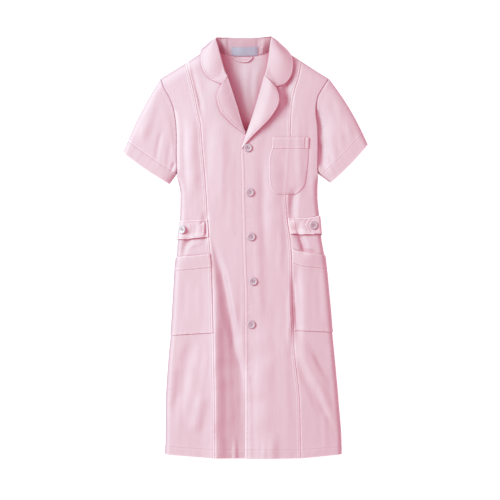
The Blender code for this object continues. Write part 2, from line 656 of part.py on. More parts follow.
def hanging_loop(collection):
    """Thin cord caught in the neck seam under the label, lying on the back."""
    points = [(LOOP_CENTRE[0] - LOOP_HALF_WIDTH * math.cos(a), LOOP_CENTRE[1] - LOOP_HANG * math.sin(a))
              for a in np.linspace(0, math.pi, LOOP_POINTS)]
    curve = bpy.data.curves.new("hanging_loop", "CURVE")
    curve.dimensions = "3D"
    curve.bevel_depth = LOOP_RADIUS * MM
    curve.bevel_resolution = 1
    curve.use_fill_caps = True
    spline = curve.splines.new("POLY")
    spline.points.add(len(points) - 1)
    for point, (x, y) in zip(spline.points, points):
        point.co = (x * MM, y * MM, (CLOTH + GAP + LOOP_RADIUS) * MM, 1)
    curve.materials.append(finish("loop cord", PINK, 0.8))
    item = bpy.data.objects.new("hanging_loop", curve)
    collection.objects.link(item)
    return item


def sleeve(side, cuff_over, cuff_under, overarm_round, seam_dip, collection):
    """Flattened tube from the armhole to the cuff, flat underneath."""
    outward = -1 if side == "left" else 1
    edge_x = row_value("side_" + side, ARMHOLE_ROWS)
    edge_y = ARMHOLE_ROWS - row_value("side_drop", ARMHOLE_ROWS)
    shares = np.sort(np.concatenate([SLEEVE_ENDS, (edge_y[-1] - edge_y[1:-1]) / (edge_y[-1] - edge_y[0])]))
    width = math.hypot(cuff_over[0] - cuff_under[0], cuff_over[1] - cuff_under[1])
    around = list(shares) + list(shares[-2:0:-1])
    rows = []
    for along in SLEEVE_SECTIONS:
        ring = []
        for number, share in enumerate(around):
            y0 = edge_y[-1] + (edge_y[0] - edge_y[-1]) * share
            seam_gap = SLEEVE_SEAM + SLEEVE_TOP_GAP * max(0, 1 - share / 0.1)
            x0 = float(np.interp(y0, edge_y, edge_x)) + outward * seam_gap
            x1 = cuff_over[0] + (cuff_under[0] - cuff_over[0]) * share
            y1 = cuff_over[1] + (cuff_under[1] - cuff_over[1]) * share
            bow = CUFF_BOW * math.sin(math.pi * share)
            x1 += outward * CUFF_OUT[0] * bow
            y1 += CUFF_OUT[1] * bow
            bulge = overarm_round * math.sin(math.pi * along) * (1 - share) ** 2
            x = x0 + (x1 - x0) * along + outward * OVERARM_OUT[0] * bulge
            y = y0 + (y1 - y0) * along + OVERARM_OUT[1] * bulge
            if number < len(shares):
                reach = min(share, 1 - share) * width
                dip = seam_dip * (1 - float(smooth_step(along / 0.2))) * math.sin(math.pi * share)
                fold = float(fold_height(np.array(x), np.array(y))) * float(smooth_step(reach / FOLD_FADE))
                top = SLEEVE_LOFT + SLEEVE_CROWN * math.sin(math.pi * share) + fold - dip
                z = SLEEVE_EDGE + (top - SLEEVE_EDGE) * float(quarter_round(reach / SLEEVE_ROUND))
            else:
                z = 0.0
            ring.append((x, y, z))
        rows.append(ring)
    grid = np.array(rows)
    if side == "left":
        grid = grid[::-1]
    return cloth("sleeve_" + side, grid, finish("sleeve cloth " + side, PINK, 0.78), collection,
                 closed=True, inward=True)


def button_mesh():
    """A turned disc with a raised, rounded rim and a dished middle."""
    r, t = BUTTON_RADIUS, BUTTON_THICK
    profile = ((0.0, 0.62 * t), (0.52 * r, 0.62 * t), (0.66 * r, 0.94 * t), (0.84 * r, t),
               (0.96 * r, 0.78 * t), (r, 0.45 * t), (0.9 * r, 0.1 * t), (0.7 * r, 0.0), (0.0, 0.0))
    work = bmesh.new()
    corners = [work.verts.new((x * MM, 0, z * MM)) for x, z in profile]
    for first, second in zip(corners[:-1], corners[1:]):
        work.edges.new((first, second))
    bmesh.ops.spin(work, geom=work.verts[:] + work.edges[:], cent=(0, 0, 0), axis=(0, 0, 1),
                   angle=2 * math.pi, steps=BUTTON_STEPS, use_duplicate=False)
    bmesh.ops.remove_doubles(work, verts=work.verts[:], dist=0.00002)
    bmesh.ops.recalc_face_normals(work, faces=work.faces[:])
    mesh = bpy.data.meshes.new("button")
    work.to_mesh(mesh)
    work.free()
    mesh.shade_smooth()
    return mesh


def button(name, x, y, out, mesh, collection):
    """A button on the garment, square to the cloth below it."""
    item = bpy.data.objects.new(name, mesh)
    normal = front_normal(x, y)
    height = float(front_height(np.array(x), np.array(y)))
    item.location = (np.array([x, y, height]) + normal * out) * MM
    tilt_x = math.atan2(-normal[1], normal[2])
    tilt_y = math.atan2(normal[0], math.hypot(normal[1], normal[2]))
    item.rotation_euler = (tilt_x, tilt_y, 0)
    collection.objects.link(item)
    return item


def main():
    clear_scene()
    garment = new_collection("nurse_uniform")

    back_panel(garment)
    panels = {"side_left": side_panel("left"), "side_right": side_panel("right")}
    panels["centre_right"] = centre_panel_right()
    panels["centre_left"] = centre_panel_left(panels["centre_right"])
    left_side = mirrored_rows(panels["side_left"], "left")
    right_centre = mirrored_rows(panels["centre_right"], "left")
    cloth("front_side_left", left_side, finish("side front left", PINK, 0.78), garment)
    cloth("front_centre_left", panels["centre_left"], finish("centre front left", PINK, 0.78), garment)
    cloth("front_centre_right", right_centre, finish("centre front right", PINK, 0.78), garment)
    cloth("front_side_right", panels["side_right"], finish("side front right", PINK, 0.78), garment)

    for row in SLEEVES:
        sleeve(*row, garment)

    hip_pocket("left", left_side, garment)
    hip_pocket("right", panels["side_right"], garment)
    chest_pocket(panels["centre_right"], panels["side_right"], garment)
    waist_tab("left", left_side, garment)
    waist_tab("right", panels["side_right"], garment)
    back_belt(garment)

    lapel("left", LEFT_LAPEL, 0.0, garment)
    lapel("right", RIGHT_LAPEL, LAYER, garment)
    collar_fall(garment)
    collar_stand(garment)
    grey = finish("label", LABEL_GREY, 0.7)
    stand_patch("neck_label", -32, 29, 0.08, 0.5, 7, grey, garment)
    stand_patch("size_tag", 33.5, 41, 0.1, 0.42, 3, finish("size tag", PINK, 0.7), garment)
    hanging_loop(garment)

    mesh = button_mesh()
    mesh.materials.append(finish("button resin", PEARL, 0.35))
    over_cloth = CLOTH + BUTTON_OUT
    for number, (x, y) in enumerate(FRONT_BUTTONS, start=1):
        button("front_button_%d" % number, x, y, LAYER + over_cloth, mesh, garment)
    button("tab_button_left", *LEFT_TAB_BUTTON, CLOTH + GAP + over_cloth, mesh, garment)
    button("tab_button_right", *RIGHT_TAB_BUTTON, 3 * CLOTH + 3 * GAP + TAB_BUTTON_OUT, mesh, garment)


main()
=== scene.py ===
"""A pink short-sleeved uniform dress with a notch collar, laid flat on its back and seen from above.

X runs to the viewer's right, Y up the dress to its collar and Z out of its front. Pieces are worked out in
millimetres and turned to metres as their meshes are made.
"""

import math

import bmesh
import bpy
import numpy as np
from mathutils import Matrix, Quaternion, Vector


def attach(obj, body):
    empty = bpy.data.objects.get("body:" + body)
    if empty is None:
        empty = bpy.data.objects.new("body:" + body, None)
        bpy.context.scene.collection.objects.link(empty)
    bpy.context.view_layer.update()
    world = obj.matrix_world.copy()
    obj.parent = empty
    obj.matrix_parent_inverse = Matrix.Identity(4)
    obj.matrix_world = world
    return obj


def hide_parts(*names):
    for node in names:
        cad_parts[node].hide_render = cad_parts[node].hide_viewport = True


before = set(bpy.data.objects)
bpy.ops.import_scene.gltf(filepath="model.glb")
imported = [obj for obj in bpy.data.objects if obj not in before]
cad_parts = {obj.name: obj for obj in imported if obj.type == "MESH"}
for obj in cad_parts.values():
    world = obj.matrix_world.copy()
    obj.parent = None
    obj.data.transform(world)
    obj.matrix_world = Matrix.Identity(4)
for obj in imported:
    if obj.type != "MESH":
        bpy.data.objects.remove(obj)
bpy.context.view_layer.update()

# ---- Back ----
# The back of the dress: one panel of plain-woven poly-cotton from the shoulders to the hem. It lies on the
# table under all the rest, climbs over the half belt at the waist, and shows inside the neck. Its hem is
# turned up twice and stitched.
MM = 0.001
BACK_WALL = 1.1
TABLE_CLEAR = 0.04       # the least height of any cloth over the table
NECK_LEFT = (-78.0, 483.0)
NECK_RIGHT = (75.0, 485.0)
SHOULDER_LEFT = (-203.0, 404.0)
SHOULDER_RIGHT = (200.0, 404.0)
NECK_DROP = 27.0
BELT_BAND = (15.0, 27.0, 70.0, 82.0)
# Rows across the body. level is the row's height at the princess seams, side_drop how much lower it is at
# the sides, neck_rise how much higher at the fronts' inner edges, crown how much it rises in the middle.
ROW_COLUMNS = ("level", "side_left", "seam_left", "edge_left", "edge_right", "seam_right", "side_right",
               "side_drop", "neck_rise", "crown")
BODY_ROWS = np.array((
    (-505, -192,  -72,  28,   0, 134, 230, -9, -2, 6),
    (-484, -191,  -72,  28,   0, 133, 230, -8,  0, 6),
    (-371, -190,  -73,  28,   0, 131, 223,  0,  0, 7),
    (-256, -183,  -75,  28,   0, 119, 213,  3,  0, 7),
    (-202, -178,  -76,  28,   0, 116, 208,  6,  0, 7),
    (-126, -173,  -78,  28,   0, 112, 202,  9,  0, 6),
    ( -45, -168,  -81,  25,  -3, 112, 194, 11,  0, 5),
    ( -11, -164,  -84,  24,  -4, 111, 189, 11,  0, 5),
    (  28, -161,  -87,  23,  -5, 107, 181,  4,  0, 4),
    (  68, -156,  -90,  22,  -6, 101, 177,  1,  0, 4),
    ( 126, -155,  -93,  21,  -7,  98, 172,  0,  0, 5),
    ( 178, -163,  -97,  20,  -8, 102, 173,  0,  0, 6),
    ( 234, -164, -102,  18, -10, 106, 174,  0,  0, 6),
    ( 262, -164, -104,   8,  -2, 108, 174,  0,  0, 6),
    ( 290, -165, -106,  -5,   8, 109, 173,  1,  0, 6),
    ( 330, -170, -114, -17,  22, 111, 169,  3,  2, 5),
    ( 370, -181, -122, -31,  35, 117, 173, 12,  6, 5),
    ( 408, -195, -131, -48,  49, 128, 187, 24, 16, 4),
    ( 443, -203, -140, -78,  75, 135, 200, 39, 40, 3),
), float)
HEM, UNDERARM, BREAK, SHOULDER = -505.0, 178.0, 234.0, 443.0
ARMHOLE_BEND = 300.0     # rows above this height move up, step by step, to the shoulders and the neck


def tabled(name):
    return BODY_ROWS[:, ROW_COLUMNS.index(name)]


def smooth_step(share):
    share = np.clip(share, 0, 1)
    return share * share * (3 - 2 * share)


def until(value, place, run):
    """1 up to a place, then softly down to 0 over a run."""
    return 1 - smooth_step((value - place) / run)


def smooth_curve(knots, values, at):
    """A smooth curve through a table's rows, which never overshoots them."""
    at = np.clip(at, knots[0], knots[-1])
    step = np.diff(knots)
    rise = np.diff(values) / step
    same_way = rise[:-1] * rise[1:] > 0
    total = np.where(same_way, rise[:-1] + rise[1:], 1)
    inner = np.where(same_way, 2 * rise[:-1] * rise[1:] / total, 0)
    slope = np.concatenate([rise[:1], inner, rise[-1:]])
    index = np.clip(np.searchsorted(knots, at, side="right") - 1, 0, len(step) - 1)
    share = (at - knots[index]) / step[index]
    start, end = values[index], values[index + 1]
    return (start + (end - start) * share * share * (3 - 2 * share)
            + step[index] * share * (1 - share) * ((1 - share) * slope[index] - share * slope[index + 1]))


def row_value(name, level):
    return smooth_curve(tabled("level"), tabled(name), level)


def side_x(side, y):
    """X of the torso's edge, or of the armhole, at a real height."""
    return smooth_curve(tabled("level") - tabled("side_drop"), tabled("side_" + side), y)


def neck_y(x):
    """The back's neck seam, between the neck's two side points."""
    middle, half = (NECK_LEFT[0] + NECK_RIGHT[0]) / 2, (NECK_RIGHT[0] - NECK_LEFT[0]) / 2
    top = np.interp(x, (NECK_LEFT[0], NECK_RIGHT[0]), (NECK_LEFT[1], NECK_RIGHT[1]))
    return top - NECK_DROP * (1 - np.abs(np.clip((x - middle) / half, -1, 1)) ** 3)


CHANCE = np.random.default_rng(23).uniform(-1, 1, (64, 64))


def ripple(x, y, size_x, size_y, turn=0.0):
    """Uneven soft waves between -1 and 1, size_x by size_y millimetres from a crest to a hollow."""
    u = np.asarray(x, float) / size_x + 17.31 + turn * 7.7
    v = np.asarray(y, float) / size_y + 29.83 + turn * 3.1
    i, j = np.floor(u).astype(int), np.floor(v).astype(int)
    a, b = smooth_step(u - i), smooth_step(v - j)
    low = CHANCE[i % 64, j % 64] * (1 - a) + CHANCE[(i + 1) % 64, j % 64] * a
    high = CHANCE[i % 64, (j + 1) % 64] * (1 - a) + CHANCE[(i + 1) % 64, (j + 1) % 64] * a
    return low * (1 - b) + high * b


def line_relief(table, x, y):
    """Creases and ridges of the cloth at a point, each along a bowed line, soft and a little uneven.

    A row gives the line's two ends, how far its middle bows, its half width to the left and to the right
    of the way it runs, and its height (hollows are negative)."""
    height = np.zeros(np.broadcast(x, y).shape)
    for number, (x0, y0, x1, y1, bow, left_width, right_width, depth) in enumerate(table):
        length = math.hypot(x1 - x0, y1 - y0)
        along = ((x - x0) * (x1 - x0) + (y - y0) * (y1 - y0)) / length ** 2
        off = ((x - x0) * (y1 - y0) - (y - y0) * (x1 - x0)) / length
        sway = 0.10 * left_width * ripple(along * length, off, 37, 60, number)
        off = off - bow * 4 * along * (1 - along) - sway
        reach = np.clip(np.where(off > 0, off / right_width, -off / left_width), 0, 1)
        across = 0.5 + 0.5 * np.cos(math.pi * reach)
        uneven = 1 + 0.25 * ripple(along * length, off, 29, 80, number + 0.5)
        height = height + depth * uneven * across * smooth_step(along / 0.3) * smooth_step((1 - along) / 0.3)
    return height


def facing(grid, tube=False):
    """The outward direction at each point of a grid of cloth, seen with its columns running right."""
    if tube:
        grid = np.concatenate([grid[:, -1:], grid, grid[:, :1]], axis=1)
    along, across = np.empty_like(grid), np.empty_like(grid)
    along[1:-1], along[0], along[-1] = grid[2:] - grid[:-2], grid[1] - grid[0], grid[-1] - grid[-2]
    across[:, 1:-1] = grid[:, 2:] - grid[:, :-2]
    across[:, 0], across[:, -1] = grid[:, 1] - grid[:, 0], grid[:, -1] - grid[:, -2]
    out = np.cross(across, along)
    out /= np.maximum(np.linalg.norm(out, axis=-1, keepdims=True), 1e-9)
    return out[:, 1:-1] if tube else out


def add_mesh(name, points, faces, material):
    mesh = bpy.data.meshes.new(name)
    mesh.from_pydata((points * MM).tolist(), [], [list(face) for face in faces])
    mesh.shade_smooth()
    mesh.materials.append(material)
    item = bpy.data.objects.new(name, mesh)
    bpy.context.scene.collection.objects.link(item)
    return item


def cloth_piece(name, face, wall, material, tube=False, painted_light=0.0):
    """A sewn piece: a wall of cloth behind the grid of its outer face, with its rims rounded over.

    Its last argument gives, from 0 to 1, how far each point is painted lighter: painted highlights on pressed
    edges, seams, rims and some whole pieces.
    """
    rows, columns = face.shape[:2]
    out = facing(face, tube)
    wall = np.broadcast_to(np.asarray(wall, float), (rows, columns))[..., None]
    points = [face.reshape(-1, 3), (face - out * wall).reshape(-1, 3)]
    count = rows * columns
    index = np.arange(count).reshape(rows, columns)
    here = index if tube else index[:, :-1]
    right = np.roll(index, -1, axis=1) if tube else index[:, 1:]
    quads = np.stack([here[:-1], right[:-1], right[1:], here[1:]], axis=-1).reshape(-1, 4)
    faces = [quads, quads[:, ::-1] + count]
    if tube:
        rims = [index[0], index[-1, ::-1]]
    else:
        rims = [np.concatenate([index[0, :-1], index[:-1, -1], index[-1, :0:-1], index[:0:-1, 0]])]
    total = 2 * count
    painted_light = np.broadcast_to(np.asarray(painted_light, float), (rows, columns)).ravel()
    painted_lights = [painted_light, painted_light]
    flat, flat_out, flat_wall = face.reshape(-1, 3), out.reshape(-1, 3), wall.reshape(-1, 1)
    for rim in rims:
        p, n, w = flat[rim], flat_out[rim], flat_wall[rim]
        away = np.cross(np.roll(p, -1, axis=0) - np.roll(p, 1, axis=0), n)
        away /= np.maximum(np.linalg.norm(away, axis=-1, keepdims=True), 1e-9)
        rings = [rim]
        for turn in (math.pi / 4, math.pi / 2, 3 * math.pi / 4):
            points.append(p - n * w / 2 + (n * math.cos(turn) + away * math.sin(turn)) * w / 2)
            rings.append(np.arange(total, total + len(rim)))
            painted_lights.append(painted_light[rim])
            total += len(rim)
        rings.append(rim + count)
        for upper, lower in zip(rings[:-1], rings[1:]):
            faces.append(np.stack([upper, lower, np.roll(lower, -1), np.roll(upper, -1)], axis=-1))
    points = np.concatenate(points)
    points[:, 2] = np.maximum(points[:, 2], TABLE_CLEAR)
    piece = add_mesh(name, points, np.concatenate(faces), material)
    piece.data.attributes.new("painted_light", "FLOAT", "POINT").data.foreach_set("value", np.concatenate(painted_lights))
    return piece


def linear(code):
    """An sRGB hex colour as the linear values that a shader takes."""
    parts = [int(code[k:k + 2], 16) / 255 for k in (1, 3, 5)]
    return tuple(c / 12.92 if c <= 0.04045 else ((c + 0.055) / 1.055) ** 2.4 for c in parts) + (1.0,)


def add_node(material, kind, settings, links=()):
    """Adds one node with its settings, and the links that lead to its inputs."""
    tree = material.node_tree
    node = tree.nodes.new(kind)
    for key, value in settings.items():
        if isinstance(key, int) or key in node.inputs:
            node.inputs[key].default_value = value
        else:
            setattr(node, key, value)
    for key, source in links:
        tree.links.new(source, node.inputs[key])
    return node


def new_material(name, settings):
    """A material with its shader's plain settings, and the place on a piece that its pattern starts from."""
    material = bpy.data.materials.new(name)
    material.use_nodes = True
    for socket, value in settings.items():
        material.node_tree.nodes["Principled BSDF"].inputs[socket].default_value = value
    return material, add_node(material, "ShaderNodeTexCoord", {}).outputs["Object"]


def give_look(material, colour, relief=None):
    """Leads a colour, and a relief, to the material's shader."""
    shader = material.node_tree.nodes["Principled BSDF"]
    material.node_tree.links.new(colour, shader.inputs["Base Color"])
    if relief:
        material.node_tree.links.new(relief, shader.inputs["Normal"])


# Plain-woven poly-cotton, 65/35, dyed and pressed. It gives the eye a soft matt pink with a faint bloom of
# fibre ends, slubs that run down the warp, and a weave that shows only from close by. The real threads
# are 0.25 mm apart, and the weave is drawn at 0.8 mm so that it shows in a near view.
WEAVE_DRAWN = 0.0008
poly_cotton, cotton_place = new_material("poly_cotton_plain_weave", {
    "Roughness": 0.82, "IOR": 1.5, "Specular IOR Level": 0.2, "Sheen Weight": 0.12, "Sheen Roughness": 0.5,
    "Sheen Tint": linear("#FFEDF3")})
cotton_warp_way = add_node(poly_cotton, "ShaderNodeMapping", {"Scale": (400.0, 22.0, 110.0)},
                           [("Vector", cotton_place)])
cotton_slubs = add_node(poly_cotton, "ShaderNodeTexNoise", {"Scale": 1.0, "Detail": 3.0, "Roughness": 0.6},
                        [("Vector", cotton_warp_way.outputs["Vector"])])
cotton_dye = add_node(poly_cotton, "ShaderNodeTexNoise", {"Scale": 11.0, "Detail": 2.0},
                      [("Vector", cotton_place)])
cotton_even = add_node(poly_cotton, "ShaderNodeMix", {"data_type": "FLOAT", 0: 0.35},
                       [(2, cotton_slubs.outputs["Fac"]), (3, cotton_dye.outputs["Fac"])])
cotton_tint = add_node(poly_cotton, "ShaderNodeValToRGB", {}, [("Fac", cotton_even.outputs[0])])
for stop, place, code in zip(cotton_tint.color_ramp.elements, (0.3, 0.7), ("#D7B5C1", "#DDBDC9")):
    stop.position, stop.color = place, linear(code)
cotton_warp, cotton_weft = (
    add_node(poly_cotton, "ShaderNodeTexWave",
             {"wave_type": "BANDS", "bands_direction": way, "Scale": math.pi / 10 / WEAVE_DRAWN,
              "Distortion": 1.0, "Detail": 1.0}, [("Vector", cotton_place)]) for way in "XY")
cotton_cross = add_node(poly_cotton, "ShaderNodeMath", {"operation": "MULTIPLY"},
                        [(0, cotton_warp.outputs["Fac"]), (1, cotton_weft.outputs["Fac"])])
cotton_weave = add_node(poly_cotton, "ShaderNodeBump", {"Strength": 0.25, "Distance": 0.00012},
                        [("Height", cotton_cross.outputs["Value"])])
cotton_bump = add_node(poly_cotton, "ShaderNodeBump", {"Strength": 0.3, "Distance": 0.0003},
                       [("Height", cotton_slubs.outputs["Fac"]), ("Normal", cotton_weave.outputs["Normal"])])
# Painted shade: in creases, in hollows and where layers lie close, the cloth is painted deeper pink by how
# hidden each point is.
cotton_near = add_node(poly_cotton, "ShaderNodeAmbientOcclusion", {"samples": 8, "Distance": 0.05})
cotton_hollow_shade_mask = add_node(poly_cotton, "ShaderNodeMapRange", {1: 0.84, 2: 0.22, 3: 0.0, 4: 0.8},
                        [(0, cotton_near.outputs["AO"])])
# Painted shade: cloth that turns down at an edge is painted deeper, so that edges lit by the window stay mid
# pink. Edges that face away from the window are dark enough by themselves, so they take less of it.
cotton_lean = add_node(poly_cotton, "ShaderNodeSeparateXYZ", {},
                       [("Vector", add_node(poly_cotton, "ShaderNodeNewGeometry", {}).outputs["Normal"])])
cotton_steep = add_node(poly_cotton, "ShaderNodeMapRange", {1: 0.95, 2: 0.55, 3: 0.0, 4: 0.9},
                        [(0, cotton_lean.outputs["Z"])])
cotton_lit = add_node(poly_cotton, "ShaderNodeMapRange", {1: -0.1, 2: 0.5, 3: 1.0, 4: 0.3},
                      [(0, cotton_lean.outputs["X"])])
cotton_side_shade_share = add_node(poly_cotton, "ShaderNodeMath", {"operation": "MULTIPLY"},
                           [(0, cotton_steep.outputs["Result"]), (1, cotton_lit.outputs["Result"])])
cotton_with_side_shade = add_node(poly_cotton, "ShaderNodeMix", {"data_type": "RGBA", 7: linear("#B08092")},
                       [(0, cotton_side_shade_share.outputs["Value"]), (6, cotton_tint.outputs["Color"])])
# Painted highlights: pressed edges, rims and the ridges over seams are painted lighter, as if light caught
# them, and some pieces a little lighter all over; each piece gives its share.
cotton_painted_light_attribute = add_node(poly_cotton, "ShaderNodeAttribute", {"attribute_name": "painted_light"})
cotton_painted_light_share = add_node(poly_cotton, "ShaderNodeMath", {"operation": "MULTIPLY", 1: 0.5},
                       [(0, cotton_painted_light_attribute.outputs["Fac"])])
cotton_with_painted_light = add_node(poly_cotton, "ShaderNodeMix", {"data_type": "RGBA", 7: linear("#F2DFE6")},
                       [(0, cotton_painted_light_share.outputs["Value"]), (6, cotton_with_side_shade.outputs[2])])
# Steep sides take less of the painted shade of hollows.
cotton_level = add_node(poly_cotton, "ShaderNodeMath", {"operation": "SUBTRACT", 0: 1.0},
                        [(1, cotton_steep.outputs["Result"])])
cotton_hollow_shade_share = add_node(poly_cotton, "ShaderNodeMath", {"operation": "MULTIPLY"},
                         [(0, cotton_hollow_shade_mask.outputs["Result"]), (1, cotton_level.outputs["Value"])])
cotton_with_hollow_shade = add_node(poly_cotton, "ShaderNodeMix", {"data_type": "RGBA", 7: linear("#F83A7C")},
                       [(0, cotton_hollow_shade_share.outputs["Value"]), (6, cotton_with_painted_light.outputs[2])])
give_look(poly_cotton, cotton_with_hollow_shade.outputs[2], cotton_bump.outputs["Normal"])

# The back's own soft lines: inside the neck, and where it lies a little loose on the table
BACK_LINES = (
    (   8,  452,   2,  320,  2, 16, 20,  1.3),
    ( -14,  446, -12,  330, -2, 12, 12, -0.5),
    (  33,  446,  22,  340,  3, 14, 14,  1.0),
    ( -38,  424, -30,  350,  2, 10, 12,  0.9),
    ( -90,   12, -60, -300,  8, 16, 20,  0.9),
    (  70,    8,  95, -260,  9, 18, 22,  0.9),
    (  10, -120,   4, -480,  4, 20, 20,  0.8),
    (-120,  300, -96,  110,  5, 16, 16,  0.8),
    ( 120,  300, 104,  100, -5, 16, 16,  0.8),
)
back_levels = np.concatenate([
    HEM + np.array((0, 0.8, 2, 5, 9, 14, 18.6, 19.6, 20.4, 21.2, 22.2, 25)), np.arange(-472, 0, 8.0),
    np.arange(4, 94, 3.0), np.arange(98, ARMHOLE_BEND, 6.0), np.arange(ARMHOLE_BEND + 2, 401, 4.5)])
back_share = np.concatenate([[0, 0.001, 0.003], np.linspace(0.008, 0.992, 120), [0.997, 0.999, 1]])
back_left, back_right = row_value("side_left", back_levels), row_value("side_right", back_levels)
back_x = back_left[:, None] + (back_right - back_left)[:, None] * back_share
back_beyond = np.maximum((row_value("seam_left", back_levels)[:, None] - back_x)
                         / (row_value("seam_left", back_levels) - back_left)[:, None],
                         (back_x - row_value("seam_right", back_levels)[:, None])
                         / (back_right - row_value("seam_right", back_levels))[:, None])
back_y = back_levels[:, None] - row_value("side_drop", back_levels)[:, None] * np.clip(back_beyond, 0, 1)
# From row to row above the armholes, the cut moves up to the shoulder seams and the neck.
back_top_x = SHOULDER_LEFT[0] + (SHOULDER_RIGHT[0] - SHOULDER_LEFT[0]) * back_share
back_top_y = np.interp(back_top_x, *zip(SHOULDER_LEFT, NECK_LEFT, NECK_RIGHT, SHOULDER_RIGHT))
back_in_neck = (back_top_x > NECK_LEFT[0]) & (back_top_x < NECK_RIGHT[0])
back_top_y = np.where(back_in_neck, neck_y(back_top_x), back_top_y)
back_upper = back_levels > ARMHOLE_BEND
back_lift = back_levels[back_upper]
back_lift = (back_lift - back_lift[0]) / (back_lift[-1] - back_lift[0])
back_first_y = back_y[back_upper][0]
back_side_y = ARMHOLE_BEND + back_lift * (SHOULDER_LEFT[1] - ARMHOLE_BEND)
back_left, back_right = side_x("left", back_side_y), side_x("right", back_side_y)
back_x[back_upper] = back_left[:, None] + (back_right - back_left)[:, None] * back_share
back_y[back_upper] = back_first_y + back_lift[:, None] * (back_top_y - back_first_y)
back_belt_rise = 1.6 * (smooth_step((back_y - BELT_BAND[0]) / 12) - smooth_step((back_y - BELT_BAND[2]) / 12))
back_z = (BACK_WALL + 0.12 + back_belt_rise + line_relief(BACK_LINES, back_x, back_y)
          + 0.12 * (1 + ripple(back_x, back_y, 40, 90)))
back_z += 0.35 * until(back_levels[:, None] - HEM, 20.4, 1.2)
back_face = np.stack([back_x, back_y, back_z], axis=-1)
back_panel = cloth_piece("back_panel_cloth", back_face, BACK_WALL, poly_cotton)
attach(back_panel, "root")
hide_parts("back_panel")

# ---- Fronts ----
# Two centre fronts and two side fronts in the same cloth, joined by princess seams from shoulder to hem.
# Each seam's allowances are pressed to one side and topstitched 6 mm away; the front on the viewer's right
# laps over the other at the placket. Worn folds and pressed creases stay in the cloth as it lies.
LAYER = 1.8              # one layer up, clear of the one below
WALL = 1.1
OUTER = WALL + 0.2       # the cloth's outer face over its underside
SIDE_LOFT = 10.0         # height of the fronts over the back, near the side
SIDE_ROUND = 11.0
SHOULDER_ROUND = 24.0
ARMHOLE_BLEND = 34.0
FOLD_FADE = 26.0
BELT_FADE = 30.0
CROWN_POWER = 2.5
NECK_LOFT = 7.0
NECK_LOFT_LOW = 300.0
NECK_LOFT_RUN = 110.0
NECK_LOFT_NEAR = 35.0
NECK_LOFT_FADE = 75.0
LEAST_LOFT = 0.2
# x0, y0, x1, y1, bow, left width, right width, height
FOLDS = (
    (  -2,  -90,    2, -680, 0, 68, 100, -8.0),
    ( -76,   10,   -2, -310, 0, 16,  24, -3.5),
    ( -72,  -20,  -68, -680, 0, 26,  16,  3.0),
    ( 121,  -20,  127, -250, 0, 16,  22, -4.0),
    ( 122, -200,  214, -440, 0, 26,  26,  4.0),
    ( 124, -262,  206, -430, 0, 22,  22, -3.5),
    (  62, -430,   66, -640, 0, 22,  22,  3.0),
    (-125, -205, -172, -420, 0, 26,  26, -3.5),
    ( -99, -340, -122, -450, 0, 22,  22,  2.5),
    ( 116,   62,  150,  -24, 0, 14,  18, -5.0),
    (-130,   34, -164,  -34, 0, 16,  16, -4.0),
    ( -94,   92,  -96,    4, 0, 12,  14, -3.0),
    ( 118,  150,  112,   52, 0, 16,  16, -4.0),
    (-132,  330, -124,  110, 0, 24,  24,  3.0),
    ( -62,  330,  -58,   60, 0, 30,  30,  2.5),
    (  64,  250,   70,  -30, 0, 32,  32,  2.5),
    ( 100,  430,  100,  320, 0, 20,  16, -4.0),
)
CREASES = (
    (-133,  452, -100,  300, 0, 12,  7, -1.9),
    ( 128,   34,  143,  -16, 0,  5,  8, -3.0),
    ( 136,   -6,  172,  -13, 0,  5,  5, -2.4),
    (  97,  402,   94,  332, 0, 10, 16, -4.6),
    ( 114,  -60,  122, -210, 0,  7, 12, -3.0),
    ( 104,  -90,  106, -260, 0,  9,  8,  1.6),
    ( -12,  -20,   -8, -500, 3,  9, 12, -0.7),
    ( -44,  -60,  -30, -520, 4, 14, 16,  0.8),
    ( -60,  300,  -66,   60, 3, 12, 14, -0.6),
    ( -30,  250,  -34,   20, 3, 14, 14,  0.7),
    (  44,  220,   52,  -60, 4, 14, 16, -0.7),
    (  30,   60,   40, -200, 3, 14, 14,  0.6),
    (  88,  120,   84,  -90, 2, 12, 12,  0.7),
    (  70, -100,   78, -420, 4, 16, 18, -0.8),
    (  98, -150,  108, -460, 4, 14, 16,  0.8),
    ( -92,  310,  -90,  120, 2, 10, 12, -0.7),
    (-146,  300, -140,  100, 2, 11, 12, -0.7),
    ( 128,  330,  134,  120, 3, 11, 13,  0.8),
    ( 154,  320,  150,  100, 2, 12, 12, -0.8),
    (-108,  -70, -106, -190, 2, 12, 12,  0.6),
    (-140,  -60, -146, -190, 2, 12, 14, -0.6),
    ( 146,  -60,  152, -190, 2, 12, 12,  0.6),
    ( 176,  -60,  184, -190, 2, 14, 12, -0.6),
    ( -88, -240, -110, -420, 4, 12, 14,  0.8),
    (-150, -250, -160, -470, 3, 12, 12,  0.8),
    ( 150, -240,  206, -340, 5, 12, 12,  1.8),
    ( 168, -330,  214, -440, 4, 12, 12, -1.6),
    ( 190, -380,  196, -500, 2, 12, 12,  0.8),
    ( -26, -440,  -24, -640, 0,  8,  8,  2.2),
    (  46, -440,   44, -640, 0,  9,  9,  1.8),
    (  20, -200,   26, -640, 3, 10, 12, -0.7),
    ( 148,    2,  178,  -16, 2,  7,  7, -1.0),
    ( -96,   12, -150,   -8, 3,  8,  8,  1.0),
)
# The deep fold of the skirt's left side: height, its ridge and its valley, how far each is off the rest
DEEP_FOLD = np.array((
    (-505, -70,  -3, 4.4, -4.6),
    (-400, -70,  -3, 4.4, -4.6),
    (-300, -70, -10, 4.4, -4.6),
    (-246, -70, -27, 4.0, -4.4),
    (-170, -70, -38, 3.4, -4.0),
    ( -93, -71, -49, 2.4, -3.4),
    (  -4, -80, -74, 0.6, -0.8),
    (  30, -86, -80, 0.0,  0.0),
), float).T


